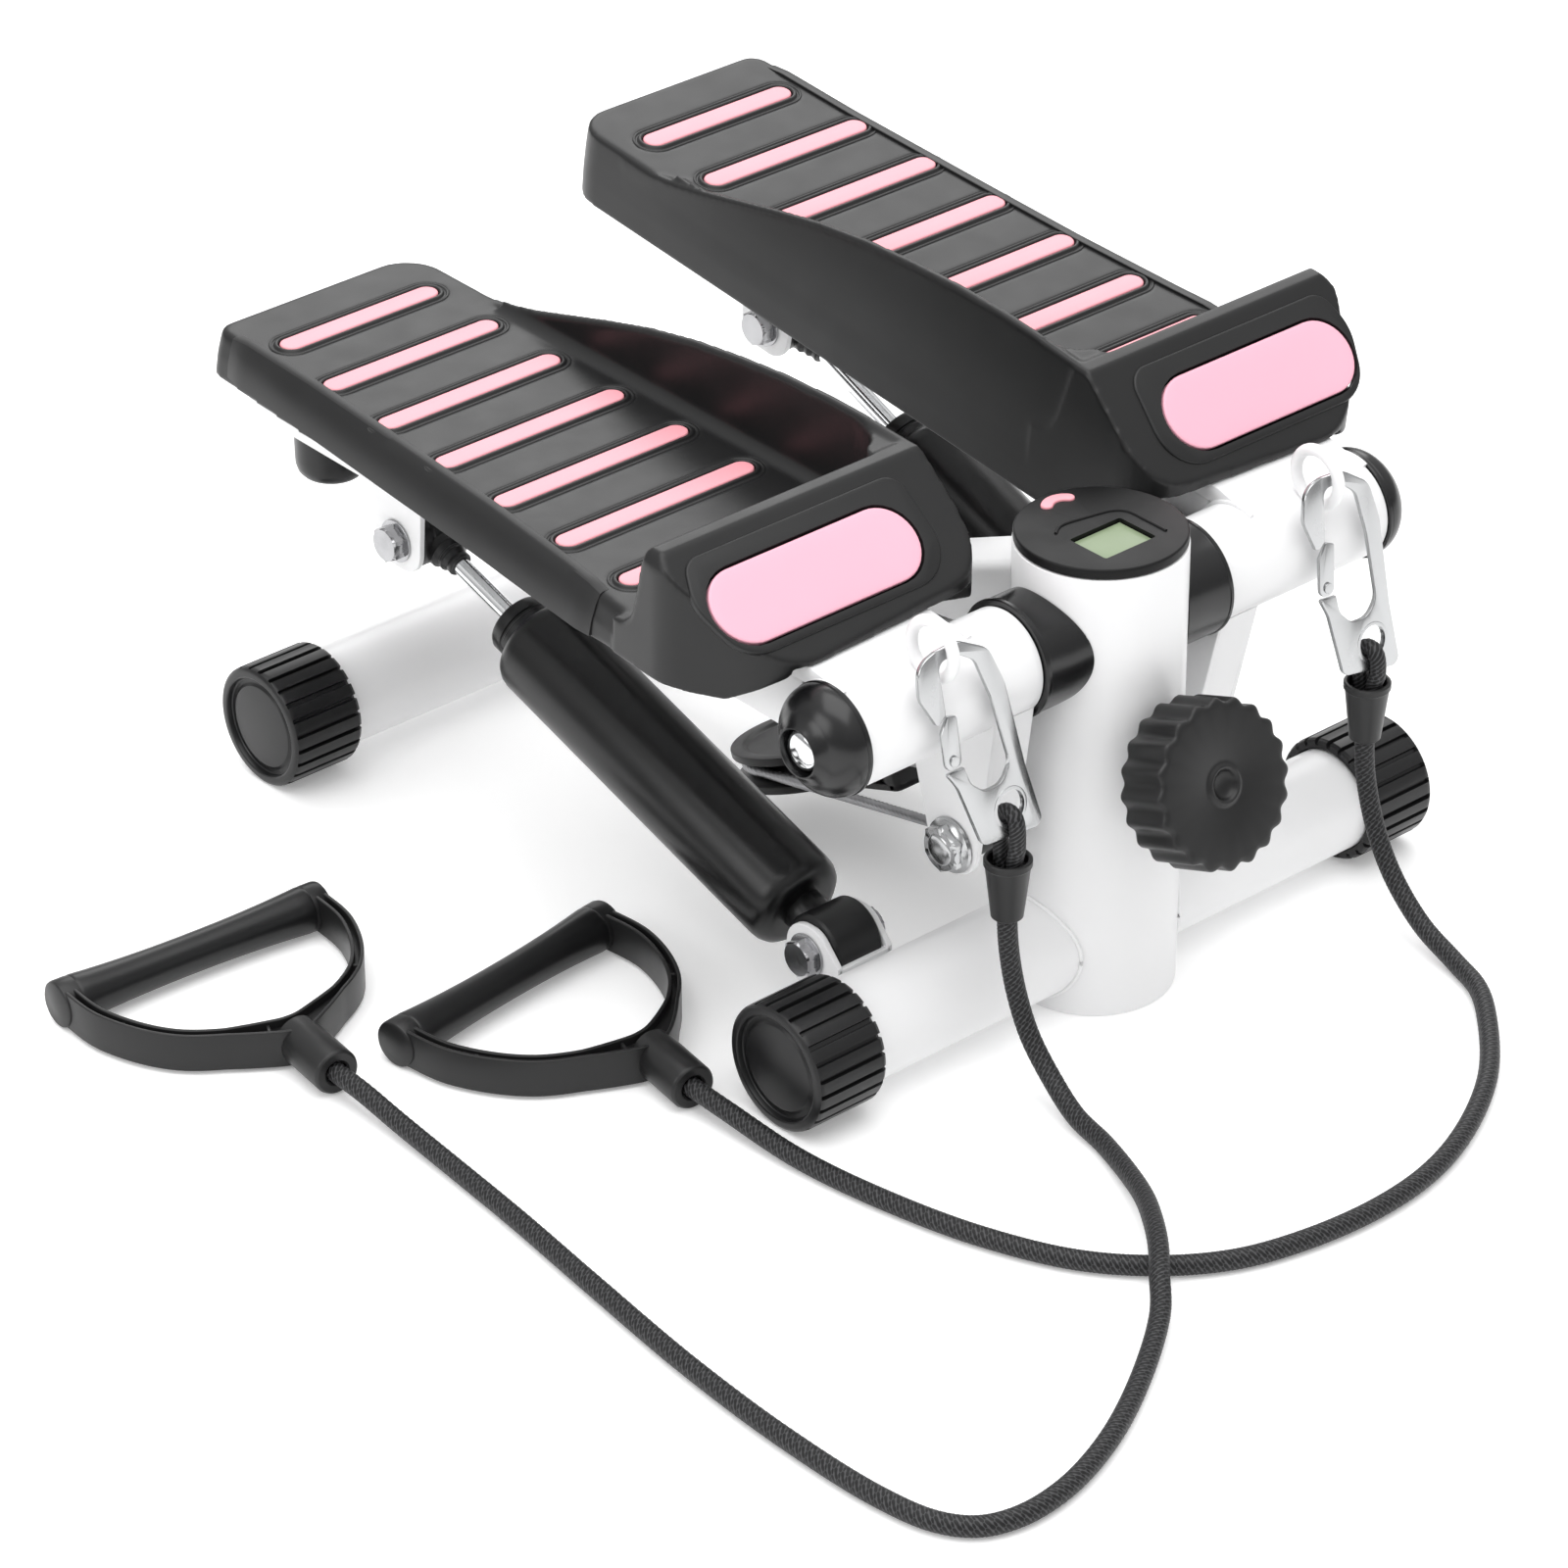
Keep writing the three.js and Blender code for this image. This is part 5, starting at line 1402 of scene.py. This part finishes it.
for name in SIDES:
    body = f"hook_{name}"
    place = hook_matrix(name)
    piece(f"snap_hook_{name}_plate", hook(), HOOK_STEEL, body, f"snap_hook_{name}", 30, place)
    piece(f"hook_gate_{name}_plate", gate(),
          HOOK_STEEL, f"gate_{name}", f"hook_gate_{name}", 30, place)
    foot = Matrix.Translation(FERRULE[name] - Vector((0, 0, FERRULE_LENGTH)))
    cuff = piece(f"ferrule_{name}_cuff", moved(ferrule(), foot), PLASTIC, body, f"ferrule_{name}",
                 35)
    shape, shades = cord_loop(name)
    loop = piece(f"cord_{name}_loop", shape, BRAID, body, crease=180, shades=shades)
    item, path, length, start = cords[name]


# ---------------------------------------------------------------- handles
def handle_frame(name):
    """The handle's own frame, with the grip along +x and the hub at -y, and the grip's length."""
    a, b = (Vector((*p, HANDLE_Z)) for p in HANDLE[name]["grip"])
    across = b - a
    matrix = Matrix.Translation((a + b) / 2) @ Matrix.Rotation(math.atan2(across.y, across.x), 4, "Z")
    return matrix, across.length


def bow_line(name, span):
    """The bow's middle line in the handle's own frame, from one grip end past the hub to the other."""
    inverse = handle_frame(name)[0].inverted()
    hub = [inverse @ Vector((*p, HANDLE_Z)) for p in HANDLE[name]["hub"]]
    end = span / 2
    x, y = hub[0].xy
    line = [(-end - 5, 2), (-end - 3, -30), (-end + 14, -62), (x - 13, y + 9), (x, y + 5), (x + 13, y + 9),
            (end - 14, -62), (end + 3, -30), (end + 5, 2)]
    return smooth_path([(x, y, 0) for x, y in line], 3), hub


def band(path, near, far, low, high, edge):
    """A strip along a flat path, between two distances to its outer side."""
    lines = [], []
    for i, (before, after) in enumerate(zip([path[0], *path], [*path[1:], path[-1]])):
        along = (after - before).normalized()
        across = Vector((along.y, -along.x, 0))
        for line, reach in zip(lines, (near[i], far[i])):
            line.append(Vector((path[i] + across * reach)[:2]))
    return prism([*lines[0], *reversed(lines[1])], low, high, edge)


def handle_bow(name):
    """A bow of two walls with a web between them, lugs at the grip's ends and a socket for the cord."""
    span = handle_frame(name)[1]
    path, hub = bow_line(name, span)
    half, end = 9, span / 2
    swell = [4 * max(0, 1 - (point.xy - hub[0].xy).length / 34) for point in path]
    outer, inner = [3 + s for s in swell], [-3 - s for s in swell]
    wall = 1.8
    near, far = [r + 1 for r in inner], [r - 1 for r in outer]
    parts = [band(path, [r - wall for r in outer], outer, -half, half, 0.5),
             band(path, inner, [r + wall for r in inner], -half, half, 0.5),
             band(path, near, far, -half + 4, half - 4, 0.3)]
    for i in range(14, len(path) - 12, 22):
        rib = [path[i], path[i].lerp(path[i + 1], 0.45)]
        parts.append(band(rib, near[i:i + 2], far[i:i + 2], -half + 1.6, half - 1.6, 0.2))
    for way in (-1, 1):
        lug = [(0, -1.6), (10.2, -1.6), (10.8, -1), (10.9, 0), (10.9, 6), (10.5, 7.2), (9.6, 7.8), (0, 7.9)]
        parts.append(turned(lug, (way * (end + 1.2), 0, 0), (way, 0, 0), sides=72))
        parts.append(turned([(0, 0), (5, 0), (5, 9), (0, 9)], (way * (end - 6), 0, 0), (way, 0, 0),
                            sides=32))
    along = hub[1] - hub[0]
    reach = along.length
    socket = [(0, -7), (9.6, -7), (10.4, -6.2), (10.6, 0), (10.6, reach - 1.6), (10.2, reach - 0.6),
              (9.4, reach), (6.2, reach), (5.2, reach - 0.8), (4.9, reach - 4), (0, reach - 4)]
    parts.append(turned(socket, hub[0], along, sides=72))
    return merged(*parts)


def handle_grip(name):
    """A foam grip, a little fuller at its ends."""
    half = handle_frame(name)[1] / 2 + 0.9
    waist = [(8.9 + 2 * (k / 12) ** 2.2, k / 12 * (half - 2.4)) for k in range(13)]
    right = [*waist, (10.8, half - 0.9), (10.2, half), (5.5, half)]
    profile = [*[(r, -h) for r, h in reversed(right)], *right[1:]]
    return turned(profile, (0, 0, 0), (1, 0, 0), sides=72, loop=True)


for name in SIDES:
    place = handle_frame(name)[0]
    bow, grip = f"handle_bow_{name}", f"handle_grip_{name}"
    piece(f"{bow}_ribbed", handle_bow(name), PLASTIC, "root", bow, 35, place)
    piece(f"{grip}_foam", handle_grip(name), RUBBER, f"grip_{name}", grip, 35, place)


# ---------------------------------------------------------------- floor, light
def make_floor():
    half, steps = 3000, 8
    row = steps + 1
    ticks = [-half + 2 * half * i / steps for i in range(row)]
    points = [Vector((x, y, 0)) for y in ticks for x in ticks]
    cells = [j * row + i for j in range(steps) for i in range(steps)]
    faces = [[c, c + 1, c + row + 1, c + row] for c in cells]
    piece("floor", (points, faces), FLOOR)


def area_light(name, place, target, size, watts):
    data = bpy.data.lights.new(name, "AREA")
    data.shape = "RECTANGLE"
    data.size, data.size_y = size
    data.energy = watts
    lamp = bpy.data.objects.new(name, data)
    lamp.location = place
    lamp.rotation_mode = "QUATERNION"
    lamp.rotation_quaternion = (Vector(target) - Vector(place)).to_track_quat("-Z", "Y")
    bpy.context.scene.collection.objects.link(lamp)


def make_sky(horizon, top):
    """A white sky that is darker near the horizon."""
    world = bpy.data.worlds.new("studio")
    world.use_nodes = True
    bpy.context.scene.world = world
    sky = world.node_tree
    background = sky.nodes["Background"]
    background.inputs["Color"].default_value = (1, 1, 1, 1)
    facing = sky.nodes.new("ShaderNodeTexCoord")
    height = sky.nodes.new("ShaderNodeSeparateXYZ")
    glow = sky.nodes.new("ShaderNodeMapRange")
    glow.inputs["From Min"].default_value = 0.0
    glow.inputs["From Max"].default_value = 0.8
    glow.inputs["To Min"].default_value = horizon
    glow.inputs["To Max"].default_value = top
    sky.links.new(facing.outputs["Generated"], height.inputs["Vector"])
    sky.links.new(height.outputs["Z"], glow.inputs["Value"])
    sky.links.new(glow.outputs["Result"], background.inputs["Strength"])


make_floor()
make_sky(0.38, 1.0)
area_light("overhead", (-0.3, -0.1, 2.4), (-0.1, 0, 0), (2.6, 2.6), 45)
area_light("behind", (2.0, 2.2, 1.9), (0, 0.15, 0.15), (2.4, 1.4), 26)
area_light("left", (-2.2, 0.3, 1.1), (0, 0.1, 0.1), (1.2, 1.0), 10)
bpy.context.scene.view_settings.view_transform = "Standard"
